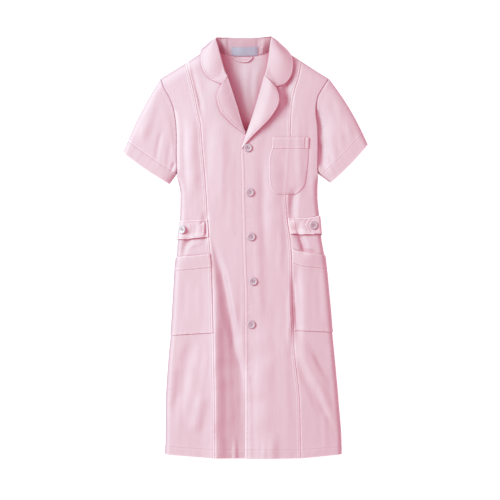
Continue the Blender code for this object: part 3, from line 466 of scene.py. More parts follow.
def quarter_round(share):
    """Height of a quarter circle, as a share of its radius."""
    return np.sqrt(1 - (1 - np.clip(share, 0, 1)) ** 2)


def bump(value, place, reach):
    """1 at a place, softly down to 0 on both its sides."""
    return np.exp(-((value - place) / reach) ** 2)


def moved_out(grid, distance, tube=False):
    """A grid moved off its cloth by a distance, or by one distance a point."""
    distance = np.broadcast_to(np.asarray(distance, float), grid.shape[:2])
    return grid + facing(grid, tube) * distance[..., None]


def spaced(width, near, far, step):
    """Places across a strip: set distances in from its two edges, and even steps between them."""
    width = np.atleast_1d(np.asarray(width, float))[:, None]
    near, far = np.array(near, float), np.array(far, float)[::-1]
    count = max(2, int(np.ceil((width.max() - near[-1] - far[0]) / step)))
    even = near[-1] + (width - near[-1] - far[0]) * np.linspace(0, 1, count + 1)[1:-1]
    ones = np.ones_like(width)
    return np.concatenate([near * ones, even, width - far * ones], axis=1)


def deep_fold(x, y):
    """A ridge along the princess seam, a plain slope from it, and a valley before the placket."""
    ridge, valley, up, down = (smooth_curve(DEEP_FOLD[0], row, y) for row in DEEP_FOLD[1:])
    share = np.clip((x - ridge) / (valley - ridge), 0, 1)
    slope = up + (down - up) * 0.5 * (share + smooth_step(share))
    return np.where(x < ridge, up * until(ridge, x, 38),
                    np.where(x > valley, down * until(x, valley, 16), slope))


def shoulder_reach(x, y):
    """Distance below the nearer shoulder line."""
    reaches = []
    for (x0, y0), (x1, y1) in ((SHOULDER_LEFT, NECK_LEFT), (SHOULDER_RIGHT, NECK_RIGHT)):
        way = 1 if x1 > x0 else -1
        reaches.append(way * ((x - x0) * (y1 - y0) - (y - y0) * (x1 - x0)) / math.hypot(x1 - x0, y1 - y0))
    return np.where(x < 0, reaches[0], reaches[1])


def belt_lift(y):
    """How far the fronts climb over the half belt, with the back."""
    return np.interp(y, BELT_BAND, (0, 1.7, 1.7, 0))


def front_height(x, y):
    """Height of the underside of the fronts over the table."""
    x, y = np.broadcast_arrays(np.asarray(x, float), np.asarray(y, float))
    left, right = side_x("left", y), side_x("right", y)
    reach = np.clip(np.minimum(x - left, right - x), 0, None)
    armhole = smooth_step((y - UNDERARM + ARMHOLE_BLEND) / ARMHOLE_BLEND)
    edge = armhole + (1 - armhole) * quarter_round(reach / SIDE_ROUND)
    across = np.clip((x - left) / (right - left), 0, 1)
    crown = smooth_curve(tabled("level"), tabled("crown"), y) * (1 - np.abs(2 * across - 1) ** CROWN_POWER)
    lines = line_relief(FOLDS, x, y) + line_relief(CREASES, x, y) + deep_fold(x, y)
    for turn, (high, size_x, size_y) in enumerate(((0.45, 38, 95), (0.16, 17, 40), (0.06, 8, 16))):
        lines = lines + high * ripple(x, y, size_x, size_y, turn)
    raised = SIDE_LOFT * edge + crown + lines * smooth_step(reach / FOLD_FADE)
    beside = smooth_step((np.abs(x) - NECK_LOFT_NEAR) / NECK_LOFT_FADE)
    neck = NECK_LOFT * smooth_step((y - NECK_LOFT_LOW) / NECK_LOFT_RUN) * (1 - beside)
    shoulder = quarter_round(shoulder_reach(x, y) / SHOULDER_ROUND)
    over_belt = belt_lift(y) * until(reach, 0, BELT_FADE)
    return LAYER + over_belt + np.maximum(raised + neck, LEAST_LOFT) * shoulder


def on_front(x, y, lift=0.0):
    """Points of the fronts' underside, or straight above it."""
    x, y = np.broadcast_arrays(np.asarray(x, float), np.asarray(y, float))
    return np.stack([x, y, front_height(x, y) + lift], axis=-1)


def seam_relief(off, y, raised, turn):
    """Beside a seam: its groove, puckers, and on one side the pressed allowances under their stitches."""
    groove = -0.4 * bump(off, 0, 0.7)
    pucker = 0.20 * ripple(off, y, 40, 5.5, turn) * bump(off, 0, 9)
    if not raised:
        return groove + pucker
    ridge = 0.75 * smooth_step(off / 2.4) * until(off, 6.3, 1.6)
    stitches = -0.40 * bump(off, SEAM_STITCH, 0.55)
    return groove + ridge + stitches + 1.3 * pucker


def hem_relief(above, x, turn):
    """The turned-up hem: a thicker band, its row of stitches, and the roping between them."""
    band = 0.45 * until(above, 20.8, 1.4)
    stitches = -0.40 * bump(above, HEM_STITCH, 0.7)
    roping = ripple(x - 0.8 * above, above, 6.5, 60, turn) * smooth_step(above / 6) * until(above, 19, 9)
    return band + stitches + 0.22 * roping


SEAM_PLACES = (0, 0.35, 0.8, 1.5, 2.6, 4.2, 5.0, 5.5, 6.1, 6.7, 7.6, 9.4)
SIDE_PLACES = (0, 0.15, 0.5, 1.1, 2, 3.2, 4.6, 6.3, 8.5, 11)
EDGE_PLACES = (0, 0.5, 1.4, 3, 4.8, 5.6, 6.2, 6.8, 7.7, 9.6)
HEM_PLACES = (0, 0.7, 1.8, 4.5, 8.5, 13.5, 18, 19.2, 19.9, 20.6, 21.6, 24)
SEAM_STITCH, HEM_STITCH, PLACKET_STITCH = 5.6, 19.9, 6.2
SEAM_SIDE = {"left": "side", "right": "centre"}   # where each seam's allowances lie
panel_levels = np.concatenate([HEM + np.array(HEM_PLACES), np.arange(-477.5, 430, 3.3),
                               SHOULDER - np.array(SIDE_PLACES)[::-1]])
CROOK = 318.0            # the left armhole shows only above this height, the crook of the sleeve
ROLL_INSET = 2.6         # the fronts end this far inside the rolls of the lapels


# Spun polyester thread, two-ply. It gives the eye short matt dashes, a little deeper pink than the cloth.
# The real stitches are 2.4 mm long and 0.25 mm thick; the thread is drawn twice as thick.
STITCH, STITCH_STEP, THREAD_RADIUS, THREAD_SIDES = 2.4, 3.0, 0.27, 5
spun_thread, thread_place = new_material("spun_polyester_thread", {"Roughness": 0.7})
thread_plies = add_node(spun_thread, "ShaderNodeTexNoise", {"Scale": 1500.0, "Detail": 2.0},
                        [("Vector", thread_place)])
thread_tint = add_node(spun_thread, "ShaderNodeValToRGB", {}, [("Fac", thread_plies.outputs["Fac"])])
for stop, code in zip(thread_tint.color_ramp.elements, ("#BE7C95", "#CF98AC")):
    stop.color = linear(code)
thread_bump = add_node(spun_thread, "ShaderNodeBump", {"Strength": 0.4, "Distance": 0.0001},
                       [("Height", thread_plies.outputs["Fac"])])
give_look(spun_thread, thread_tint.outputs["Color"], thread_bump.outputs["Normal"])


def run_at(face, measure, place, columns=False):
    """The line on a face where a measure that changes along its rows, or its columns, has one value."""
    measure, line = np.broadcast_to(measure, face.shape[:2]), []
    if columns:
        face, measure = face.transpose(1, 0, 2), measure.T
    for points, values in zip(face, measure):
        order = np.argsort(values)
        line.append([np.interp(place, values[order], points[order, k]) for k in range(face.shape[2])])
    return np.array(line)


def sew(name, lines, whole=False):
    """Threads on a piece: rows of stitches along lines, half sunk in the cloth, or whole strands."""
    strands = []
    for line in lines:
        if whole:
            strands.append(line)
            continue
        run = np.concatenate([[0], np.cumsum(np.linalg.norm(np.diff(line, axis=0), axis=1))])
        at = np.arange(0.4, run[-1] - STITCH, STITCH_STEP)[:, None] + STITCH * np.array((0, 0.14, 0.86, 1.0))
        placed = np.stack([np.interp(at, run, line[:, k]) for k in range(3)], axis=-1)
        placed[..., 2] += np.array((-0.16, 0.1, 0.1, -0.16))
        strands.extend(placed)
    strands = np.array(strands)
    way = np.gradient(strands, axis=1)
    way /= np.linalg.norm(way, axis=-1, keepdims=True)
    across = np.cross((0.0, 0.0, 1.0), way)
    across /= np.linalg.norm(across, axis=-1, keepdims=True)
    over = np.cross(way, across)
    taper = np.full(strands.shape[1], THREAD_RADIUS)
    taper[[0, -1]] *= 0.55
    angles = np.arange(THREAD_SIDES) / THREAD_SIDES * 2 * math.pi
    rings = strands[:, :, None] + taper[:, None, None] * (across[:, :, None] * np.cos(angles)[:, None]
                                                         + over[:, :, None] * np.sin(angles)[:, None])
    index = np.arange(rings[..., 0].size).reshape(rings.shape[:3])
    following = np.roll(index, -1, axis=2)
    sides = np.stack([index[:, :-1], following[:, :-1], following[:, 1:], index[:, 1:]], axis=-1)
    faces = sides[..., ::-1].reshape(-1, 4).tolist() + index[:, 0].tolist() + index[:, -1, ::-1].tolist()
    threads = add_mesh(name + "_stitches", rings.reshape(-1, 3), faces, spun_thread)
    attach(threads, "root")
    return threads


def panel_grid(side, edge, edge_places):
    """A front panel's rows: places from its princess seam, how wide it is there, and X."""
    seam = row_value("seam_" + side, panel_levels)
    width = np.abs(edge - seam)[:, None] - 0.1
    off = spaced(width[:, 0], SEAM_PLACES, edge_places, 3.4)
    return off, width, seam[:, None] + np.sign(edge - seam)[:, None] * (0.1 + off)


def panel_cloth(grid, relief, off, raised):
    """A front panel's outer face, its hem's and seam's stitches, and its painted highlights on the seam's
    ridge and the hem's edge.
    """
    face = moved_out(grid, OUTER + relief)
    above = panel_levels[:, None] - HEM
    lines = [run_at(face, above, HEM_STITCH, columns=True)]
    if raised:
        lines.append(run_at(face, off, SEAM_STITCH))
    # Painted highlights on the seam's ridge and at the hem's folded edge.
    return face, lines, 0.8 * bump(off, 2.4 if raised else 0.8, 2.2) + 0.5 * bump(above, 0, 1.5)


def side_front(side):
    """A side front's outer face, from the princess seam to the side and the armhole, and its stitches."""
    off, width, x = panel_grid(side, row_value("side_" + side, panel_levels), SIDE_PLACES)
    y = panel_levels[:, None] - row_value("side_drop", panel_levels)[:, None] * off / width
    turn, raised = (3 if side == "left" else 4), SEAM_SIDE[side] == "side"
    relief = seam_relief(off, y, raised, turn) + hem_relief(panel_levels[:, None] - HEM, x, turn)
    from_side = width - off
    at_armhole = smooth_step((y - UNDERARM) / 12)
    crook = smooth_step((y - CROOK) / 20) if side == "left" else 1.0
    relief = relief + at_armhole * (-(0.1 + 1.1 * crook) * bump(from_side, 0, 0.9)
                                    + 0.25 * ripple(from_side, y, 40, 6, turn) * bump(from_side, 0, 10))
    relief = relief + (1 - at_armhole) * 0.3 * ripple(from_side, y, 40, 8, turn) * bump(from_side, 8, 6)
    # Painted highlight: on the left, below the crook of the sleeve, the side's edge over the sleeve is
    # painted lighter.
    painted_edge_light = at_armhole * (1 - crook) * bump(from_side, 3.0, 4.0)
    grid = on_front(x, y)
    if side == "left":
        grid, relief, off, painted_edge_light = grid[:, ::-1], relief[:, ::-1], off[:, ::-1], painted_edge_light[:, ::-1]
    face, lines, painted_light = panel_cloth(grid, relief, off, raised)
    return face, lines, painted_light + painted_edge_light


def inner_edge(side, levels):
    """X of a centre front's inner edge: the lapped placket, then just inside the lapel's roll."""
    x = row_value("edge_" + side, levels)
    above = smooth_step((levels - BREAK - 8) / 14)
    return x + (-1 if side == "left" else 1) * ROLL_INSET * above


def centre_front(side):
    """A centre front's outer face, from the princess seam to its inner edge, and its stitches."""
    off, width, x = panel_grid(side, inner_edge(side, panel_levels), EDGE_PLACES)
    share = off / width
    y = panel_levels[:, None] + row_value("neck_rise", panel_levels)[:, None] * share
    turn, raised = (5 if side == "left" else 6), SEAM_SIDE[side] == "centre"
    relief = seam_relief(off, y, raised, turn) + hem_relief(panel_levels[:, None] - HEM, x, turn)
    lap = 0.0
    from_edge = width - off
    if side == "right":
        lap = LAYER * smooth_step((share - 0.5) / 0.26)
        below = until(y, BREAK, 20)
        skirt = smooth_step((-60 - y) / 40)
        relief = relief + below * (
            -0.40 * bump(from_edge, PLACKET_STITCH, 0.6) + 0.25 * until(from_edge, 6.4, 2)
            + (0.16 + 0.34 * skirt) * ripple(from_edge, y, 40, 6.5, 6) * bump(from_edge, 6, 8))
    grid = on_front(x, y, lap)
    if side == "right":
        grid, relief, off, from_edge = grid[:, ::-1], relief[:, ::-1], off[:, ::-1], from_edge[:, ::-1]
    face, lines, painted_light = panel_cloth(grid, relief, off, raised)
    if side == "right":
        lines.append(run_at(face, from_edge, PLACKET_STITCH)[panel_levels < BREAK - 6])
    # Painted highlight along the inner edge, at the placket and the roll.
    return face, lines, painted_light + 0.8 * bump(from_edge, 1.0, 1.6)


fronts = {"side_left": side_front("left"), "side_right": side_front("right"),
          "centre_left": centre_front("left"), "centre_right": centre_front("right")}
for front_name, (front_face, front_lines, front_painted_light) in fronts.items():
    front = cloth_piece("front_%s_cloth" % front_name, front_face, WALL, poly_cotton, painted_light=front_painted_light)
    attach(front, "root")
    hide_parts("front_" + front_name)
    sew("front_" + front_name, front_lines)

# ---- Sleeves ----
# Short set-in sleeves, each one piece of the same cloth sewn into a tube and eased into its armhole. They
# lie flat with the fold along the overarm, and end in a turned-up cuff band of 30 mm, stitched round.
SLEEVE_LOFT = 12.5
SLEEVE_EDGE = 4.5
SLEEVE_ROUND = 11.0
SLEEVE_CROWN = 1.5
SLEEVE_SEAM = 0.5
SLEEVE_TOP_GAP = 1.0
CUFF_BOW = 3.0
CUFF_DEPTH = 29.4
CUFF_ROWS = 34.0         # the part of a sleeve whose rows keep their distances from the cuff
SLEEVE_LENGTH = 150.0    # along its middle, which sets how many rows it has
CUFF_OUT = (0.56, -0.83)
OVERARM_OUT = (0.86, 0.5)
# overarm and underarm corners of the cuff, how far the overarm edge rounds out, dip at the armhole, how
# strongly the cuff's stitches draw it in, and how much sooner the cuff falls off to its underarm fold
SLEEVES = {"left": ((-293.8, 228.0), (-182.0, 152.4), 5.0, 2.6, 1.0, 16.0),
           "right": ((293.8, 247.6), (203.2, 155.2), 6.0, 3.0, 0.4, 0.0)}
SLEEVE_LINES = (
    (-198, 284, -213, 200,   3,  8,  9, -1.2),
    (-214, 372, -252, 240,   4, 22, 22,  2.0),
    (-232, 350, -226, 230,   4, 18, 18, -0.2),
    (-186, 300, -196, 190,   2, 12, 14,  0.4),
    (-262, 320, -272, 240,   2, 14, 14, -0.6),
    (-176, 260, -188, 170,   2,  8,  9, -0.8),
    (-168, 206, -180, 176,   0,  5,  7, -2.2),
    ( 166, 350,  175, 158, -12, 36, 13, -7.5),
    ( 222, 372,  262, 250,   4, 22, 22,  2.0),
    ( 206, 330,  232, 200,   4, 16, 16, -1.0),
    ( 236, 350,  246, 232,   3, 15, 15, -0.8),
    ( 266, 320,  276, 250,   2, 12, 12,  1.2),
    ( 190, 260,  208, 176,   3,  9, 11,  1.6),
    ( 184, 300,  198, 210,   2, 10, 10, -1.2),
)


def sleeve_face(side):
    """Grid of a sleeve's outer face: rings from the armhole to the cuff, over the top and back below."""
    cuff_over, cuff_under, overarm_round, seam_dip, cuff_draw, cuff_fall = SLEEVES[side]
    outward = -1 if side == "left" else 1
    turn = 7 if side == "left" else 8
    width = math.dist(cuff_over, cuff_under)
    fold = np.array(SIDE_PLACES) / width
    top_share = np.concatenate([fold, np.linspace(fold[-1], 1 - fold[-1], 46)[1:-1], 1 - fold[::-1]])
    tuck = np.array((0.25, 0.9, 2.1, 4.2)) / width
    tuck_z = np.array((2.7, 1.3, 0.35, 0.0))
    low_share = np.concatenate([1 - tuck, np.linspace(1 - tuck[-1], tuck[-1], 30)[1:-1], tuck[::-1]])
    low_z = np.concatenate([tuck_z, np.zeros(low_share.size - 2 * tuck_z.size), tuck_z[::-1]])
    share = np.concatenate([top_share, low_share])[None, :]
    top = np.arange(share.shape[1]) < len(top_share)
    places = np.array((0, 0.5, 1.3, 2.6, 4.6, 7.0))
    cuff = np.array((0, 0.7, 1.8, 4.5, 9, 14, 19, 24, 28, 29.0, 29.7, 30.4, 31.6, CUFF_ROWS))[::-1]
    above_cuff = SLEEVE_LENGTH - CUFF_ROWS
    upper = np.concatenate([places, np.arange(10.5, above_cuff - 2, 3.5)]) / above_cuff
    shoulder_y, underarm_y = SHOULDER_LEFT[1], UNDERARM
    y0 = shoulder_y + (underarm_y - shoulder_y) * share
    x0 = side_x(side, y0) + outward * (SLEEVE_SEAM + SLEEVE_TOP_GAP * np.clip(1 - share / 0.1, 0, 1))
    bow = CUFF_BOW * np.sin(math.pi * share)
    x1 = cuff_over[0] + (cuff_under[0] - cuff_over[0]) * share + outward * CUFF_OUT[0] * bow
    y1 = cuff_over[1] + (cuff_under[1] - cuff_over[1]) * share + CUFF_OUT[1] * bow
    # the sleeve is short at the underarm, where the cuff takes up nearly all of it
    long = np.hypot(x1 - x0, y1 - y0)
    cuff_scale = np.minimum(1, (long - 3) / CUFF_ROWS)
    along = np.concatenate([upper[:, None] * (1 - CUFF_ROWS * cuff_scale / long),
                            1 - cuff[:, None] * cuff_scale / long])
    bulge = overarm_round * np.sin(math.pi * along) * (1 - share) ** 2
    x = x0 + (x1 - x0) * along + outward * OVERARM_OUT[0] * bulge
    y = y0 + (y1 - y0) * along + OVERARM_OUT[1] * bulge
    reach = np.minimum(share, 1 - share) * width
    dip = seam_dip * until(along, 0, 0.2) * np.sin(math.pi * share)
    lines = line_relief(SLEEVE_LINES, x, y) + 0.35 * ripple(x, y, 30, 70) + 0.15 * ripple(x, y, 15, 30, 1)
    height = (SLEEVE_LOFT + SLEEVE_CROWN * np.sin(math.pi * share) + lines * smooth_step(reach / 22) - dip)
    from_seam, from_cuff = along * long, (1 - along) * long / cuff_scale
    ease = 0.35 * ripple(share * 260, from_seam, 6.5, 30, turn) * bump(from_seam, 5, 7)
    height = height + 0.5 * smooth_step(from_seam / 2.5) * until(from_seam, 7, 5) + ease
    height = height - 0.7 * bump(from_seam, 0, 1.1)
    height = height + 0.6 * cuff_draw * until(from_cuff - CUFF_DEPTH, 0.8, 1.2)
    height = height - 0.65 * cuff_draw * bump(from_cuff, CUFF_DEPTH, 0.6)
    height = height + 0.25 * (ripple(share * 135, from_cuff, 6.5, 60, turn) * smooth_step(from_cuff / 6)
                              * until(from_cuff, CUFF_DEPTH, 8))
    edge_round = SLEEVE_ROUND + (cuff_fall * smooth_step((CUFF_DEPTH - from_cuff) / 2)
                                 * smooth_step((share - 0.5) / 0.2))
    z_top = SLEEVE_EDGE + (height - SLEEVE_EDGE) * quarter_round(reach / edge_round)
    z_low = np.broadcast_to(np.concatenate([np.zeros(len(top_share)), low_z]), x.shape)
    grid = np.stack([x, y, np.where(top, z_top, z_low)], axis=-1)
    lines = [run_at(grid[:, :len(top_share)], from_cuff[:, :len(top_share)], CUFF_DEPTH, columns=True)]
    # Painted highlights along the cuff band's top, strong on the left sleeve and faint on the right, and
    # along the cuff's edge.
    painted_light = 0.7 * cuff_draw * bump(from_cuff, CUFF_DEPTH + 2.2, 1.3) + 0.5 * bump(from_cuff, 0.5, 1.6)
    painted_light = np.broadcast_to(painted_light, x.shape)
    return (grid[::-1], lines, painted_light[::-1]) if side == "left" else (grid, lines, painted_light)


for side in ("left", "right"):
    face, cuff_lines, cuff_painted_light = sleeve_face(side)
    sleeve = cloth_piece("sleeve_%s_cloth" % side, face, WALL, poly_cotton, tube=True, painted_light=cuff_painted_light)
    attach(sleeve, "root")
    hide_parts("sleeve_" + side)
    sew("sleeve_" + side, cuff_lines)

# ---- Hip pockets ----
# A patch pocket over each side front, in the same cloth, caught in the princess and side seams and sewn
# down along its bottom. Its mouth is turned in and stitched 33 mm below the edge, and stands a little open.
PATCH_GAP = 0.25
PATCH_WALL = 1.0
BOTTOM_STITCH, MOUTH_STITCH = 2.6, 32.6   # in from the bottom, and down from the mouth
# share of the way from seam to side, height of the top edge, height of the bottom edge
HIP_POCKETS = {"left": ((0, -15.5, -204.5), (0.5, -20, -207.5), (1, -23.5, -211)),
               "right": ((0, -3.5, -199.5), (0.2, -9.5, -200), (0.42, -14, -200.5), (0.7, -16, -201.5),
                         (1, -19, -203))}
MOUTH_OPEN = {"left": 1.8, "right": 4.2}
BOTTOM_PLACES = (0, 0.5, 1.2, 2.0, 2.6, 3.2, 4.0, 5.6)
MOUTH_PLACES = (0, 0.5, 1.3, 2.6, 5, 9, 14, 20, 26, 30, 32, 32.6, 33.2, 34, 36)


def on_patch(x, y, lift):
    """Outer face of a piece that lies on the fronts, a lift above their outer face."""
    return moved_out(on_front(x, y), OUTER + PATCH_GAP + PATCH_WALL + lift)


def folded_edge(off, stitch, puff=0.35, dent=0.42):
    """Relief along a turned and stitched edge: soft at the edge, puffed, and held down by its stitches."""
    return (-0.35 * bump(off, 0, 0.7) + puff * smooth_step(off / 1.2) * until(off, stitch, 1.4)
            - dent * bump(off, stitch, 0.6))


for side, pocket_rows in HIP_POCKETS.items():
    table_share, table_top, table_bottom = np.array(pocket_rows, float).T
    seam_at, side_at = float(row_value("seam_" + side, -100)), float(side_x(side, -100))
    width = abs(side_at - seam_at)
    off = spaced(width, (0.3, 0.7, 1.4, 2.5, 4.2, 5.0, 5.5, 6.1, 6.7, 7.6, 9.4), SIDE_PLACES, 3.4)[0]
    share = off / width
    top, bottom = np.interp(share, table_share, table_top), np.interp(share, table_share, table_bottom)
    up = spaced(top - bottom, BOTTOM_PLACES, MOUTH_PLACES, 3.6).T
    y = bottom + up
    seam, edge = row_value("seam_" + side, y), side_x(side, y)
    outward = -1 if side == "left" else 1
    below_top = (top - bottom) - up
    x = seam + (edge - seam) * share + outward * 1.8 * share ** 6 * until(below_top, 0, 60)
    mouth = MOUTH_OPEN[side] * until(below_top, 0, 46) * np.sin(math.pi * share) ** 0.7
    turn = 9 if side == "left" else 10
    relief = (folded_edge(up, BOTTOM_STITCH, 0.6, 0.7) + 0.5 * bump(up, 0, 5)
              - 0.6 * bump(below_top, MOUTH_STITCH, 0.8) + 0.55 * until(below_top, 31.4, 2)
              - 0.3 * bump(below_top, 0, 0.7)
              + 0.30 * ripple(x, below_top, 7, 60, turn) * bump(below_top, 32, 9)
              + 0.22 * ripple(x, up, 6, 60, turn) * bump(up, 3, 7)
              + seam_relief(off, y, SEAM_SIDE[side] == "side", turn) - 0.6 * bump(off, 0, 1.3)
              + 0.35 * ripple(x, y, 26, 60, turn))
    relief = mouth + relief
    off = off[None, :]
    if side == "left":
        x, y, relief, up, below_top, off = (grid[:, ::-1] for grid in (x, y, relief, up, below_top, off))
    face = on_patch(x, y, relief)
    lines = [run_at(face, up, BOTTOM_STITCH, columns=True),
             run_at(face, below_top, MOUTH_STITCH, columns=True)]
    if SEAM_SIDE[side] == "side":
        lines.append(run_at(face, off, SEAM_STITCH))
    # Painted highlights along the mouth's edge, the band's fold, the bottom edge and the seam's ridge.
    painted_light = 0.6 * bump(below_top, 0.5, 1.8) + 0.6 * bump(below_top, 30.6, 1.3) + bump(up, 1.0, 1.4)
    painted_light = painted_light + 0.8 * bump(off, 2.0, 1.4)
    hip_pocket = cloth_piece("hip_pocket_%s_cloth" % side, face, PATCH_WALL, poly_cotton, painted_light=painted_light)
    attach(hip_pocket, "root")
    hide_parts("hip_pocket_" + side)
    sew("hip_pocket_" + side, lines)

# ---- Chest pocket ----
# A patch pocket on the viewer's right, sewn down over the princess seam, with its lower corners cut off.
# The mouth band is 27 mm deep, and one row of stitches near its outer side makes a slot for a pen.
CHEST_TOP, CHEST_BOTTOM, CHEST_WIDE, PEN_SLOT = 263.0, 126.5, 94.0, 11.0
CHEST_STITCH, BAND_STITCH = 3.4, 26.6      # in from the edges, and down from the mouth
STITCHED_EDGE = (0, 0.4, 1.0, 1.8, 2.8, 3.4, 4.0, 5.0)
# height, left edge, right edge
CHEST_EDGES = np.array((
    (126.5, 78.0, 119.0),
    (130.0, 69.0, 125.5),
    (134.0, 65.5, 130.5),
    (139.5, 62.5, 135.8),
    (146.0, 60.0, 140.2),
    (153.0, 58.4, 143.4),
    (164.0, 57.2, 144.9),
    (180.0, 56.6, 147.4),
    (199.0, 56.0, 150.0),
    (221.0, 58.2, 151.8),
    (229.0, 60.8, 152.4),
    (238.0, 64.0, 153.0),
    (263.0, 65.4, 154.2),
)).T
up = spaced(CHEST_TOP - CHEST_BOTTOM, BOTTOM_PLACES + (7.5, 9.5, 12),
            MOUTH_PLACES[:8] + (24, 26, 26.6, 27.2, 28, 30), 3.0).T
y = CHEST_BOTTOM + up
left, right = (smooth_curve(CHEST_EDGES[0], CHEST_EDGES[k], y) for k in (1, 2))
chest_off = spaced(CHEST_WIDE, STITCHED_EDGE, STITCHED_EDGE + (8, 11.6, 12.2, 12.8, 13.6, 16), 2.8)[0]
x = left + (right - left) * chest_off / CHEST_WIDE
inset = np.minimum(np.minimum(x - left, right - x), up + 0 * x)
below_top = CHEST_TOP - y
seam_bump = bump(x - row_value("seam_right", y), -3, 3.2)
pen = x - (right - PEN_SLOT)
band = smooth_step((26.5 - below_top) / 2.5)
chest_relief = (folded_edge(inset, CHEST_STITCH, 0.25, 0.3) - 0.6 * bump(inset, 0, 1.6)
                - 0.35 * bump(below_top, 0, 0.7) + 0.50 * until(below_top, 25.6, 2)
                - 0.6 * bump(below_top, BAND_STITCH, 0.8)
                - 0.6 * band * bump(pen, 0, 1.0) + 0.7 * band * bump(pen, 6, 4)
                + 0.45 * seam_bump + 0.3 * ripple(x, y, 22, 50, 12)
                + 0.25 * ripple(x, below_top, 7, 60, 12) * bump(below_top, 26, 8)
                + 0.22 * ripple(x + y, inset, 7, 60, 13) * bump(inset, 3, 5))
chest_mouth = 1.0 * until(below_top, 0, 34) * np.clip(np.sin(math.pi * chest_off / CHEST_WIDE), 0, 1) ** 0.7
chest_lap = LAYER * smooth_step((row_value("seam_right", y) - x) / row_value("seam_right", y) * 1.9 - 0.95)
chest_face = on_patch(x, y, chest_relief + chest_mouth + chest_lap)
# Painted highlights along the edges, the mouth, the band's fold and beside the pen slot.
chest_painted_light = 0.45 * bump(inset, 1.8, 1.8) + 0.5 * bump(below_top, 0.8, 1.6) + 0.6 * bump(below_top, 24.6, 1.3)
chest_painted_light = chest_painted_light + 0.6 * band * bump(pen, 4.5, 3.0)
chest_pocket = cloth_piece("chest_pocket_cloth", chest_face, PATCH_WALL, poly_cotton,
                           painted_light=np.clip(chest_painted_light, 0, 1))
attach(chest_pocket, "root")
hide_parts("chest_pocket")
chest_face = np.concatenate([chest_face, inset[..., None]], axis=-1)
chest_lines = [run_at(chest_face, x - left, CHEST_STITCH), run_at(chest_face, right - x, CHEST_STITCH),
               run_at(chest_face, up, CHEST_STITCH, columns=True)]
chest_lines = [line[line[:, 3] > CHEST_STITCH - 0.2] for line in chest_lines]
chest_lines.append(run_at(chest_face, below_top, BAND_STITCH, columns=True))
chest_lines.append(run_at(chest_face, x - right, -PEN_SLOT)[below_top[:, 0] < BAND_STITCH])
sew("chest_pocket", [line[:, :3] for line in chest_lines])

# ---- Waist tabs ----
# A strap across each side front, two layers of the same cloth turned out and edge-stitched. It is sewn in
# at the princess seam, and its lower edge stands off the front. The left one goes on to the side seam.
TAB_WALL = 1.3
TAB_STITCH, TAB_END_STITCH = 3.4, 15.9
# X, bottom and top at the inner end, then at the outer end; the left one's outer end is at the side seam
TABS = {"left": ((-90.4, 24.6, 67.0), (None, 19.0, 63.5)),
        "right": ((104.6, 32.0, 70.6), (166.0, 31.0, 70.0))}
TAB_LINES = (
    (-95.5, 12, -94.5, 80,  0,   4,   4, -2.4),
    ( -104, 14,   -98, 68,  1,   5,   5,  2.0),
    ( -110, 52,   -99, 72,  1,   4,   4, -1.6),
    ( -124, 20,  -118, 58,  2,   6,   6, -0.9),
    ( -140, 24,  -134, 62,  2,   6,   7,  0.8),
    (  148, 74,   143, 56, -1,   3,   3, -1.3),
    (  150, 34,   146, 44,  1,   3,   3, -1.1),
    (  131, 30,   128, 72,  1,   7,   7, -0.8),
    (  155, 30,   152, 46,  0, 2.5, 2.5,  1.0),
)
for side, (inner, outer) in TABS.items():
    outer_x = float(side_x("left", 42.0)) if side == "left" else outer[0]
    length = abs(outer_x - inner[0])
    outer_places = SIDE_PLACES if side == "left" else (0, 0.5, 1.2, 2.4)
    inner_places = STITCHED_EDGE[:5] + (4.2, 6, 8, 10, 12, 14, 15.3, 15.9, 16.5, 17.5)
    off = spaced(length, inner_places, outer_places, 2.6)[0]
    share = off / length
    low, high = inner[1] + (outer[1] - inner[1]) * share, inner[2] + (outer[2] - inner[2]) * share
    up = spaced(high - low, STITCHED_EDGE[:7] + (5.2,), STITCHED_EDGE[:7] + (5.2,), 2.4).T
    y = low + up
    if side == "left":
        x = row_value("seam_left", y) - 0.5 + (side_x("left", y) - row_value("seam_left", y)) * share
        x = x - 1.6 * share ** 8 * until(up, 0, 16)
    else:
        x = row_value("seam_right", y) + 1.4 + (outer_x - row_value("seam_right", y) - 1.4) * share
    turn = 14 if side == "left" else 15
    from_edge = np.minimum(up, (high - low) - up)
    stand = 3.4 * until(up, 0, 15) * (np.sin(math.pi * np.clip(share, 0, 1)) ** 0.6 if side == "left"
                                      else smooth_step(share / 0.25 + 0.1))
    relief = (folded_edge(from_edge, TAB_STITCH, 0.5) + 0.22 * ripple(x, from_edge, 5.0, 60, turn)
              * bump(from_edge, 2.5, 3.5)
              + line_relief(TAB_LINES, x, y) * smooth_step((from_edge - 1) / 9) * smooth_step((off + 1) / 7)
              + 0.2 * ripple(x, y, 12, 16, turn))
    if side == "right":
        relief = relief + folded_edge(off, TAB_END_STITCH, 0.45) + 0.4 * until(off, 2, 14)
    grid_lift = stand + relief + (TAB_WALL - PATCH_WALL)
    over_up = (high - low) - up
    if side == "left":
        x, y, grid_lift, up, over_up = (grid[:, ::-1] for grid in (x, y, grid_lift, up, over_up))
    face = on_patch(x, y, grid_lift)
    lines = [run_at(face, measure, TAB_STITCH, columns=True) for measure in (up, over_up)]
    if side == "right":
        lines.append(run_at(face, off, TAB_END_STITCH))
    # Painted light: the whole tab is painted lighter, more along its edges, and the right tab's stitched end
    # nearly white.
    painted_light = 0.35 + 0.65 * bump(np.minimum(up, over_up), 1.4, 1.8)
    if side == "right":
        painted_light = np.maximum(painted_light, until(off, 14, 2))
    tab = cloth_piece("waist_tab_%s_cloth" % side, face, TAB_WALL, poly_cotton, painted_light=painted_light)
    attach(tab, "root")
    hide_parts("waist_tab_" + side)
    sew("waist_tab_" + side, lines)

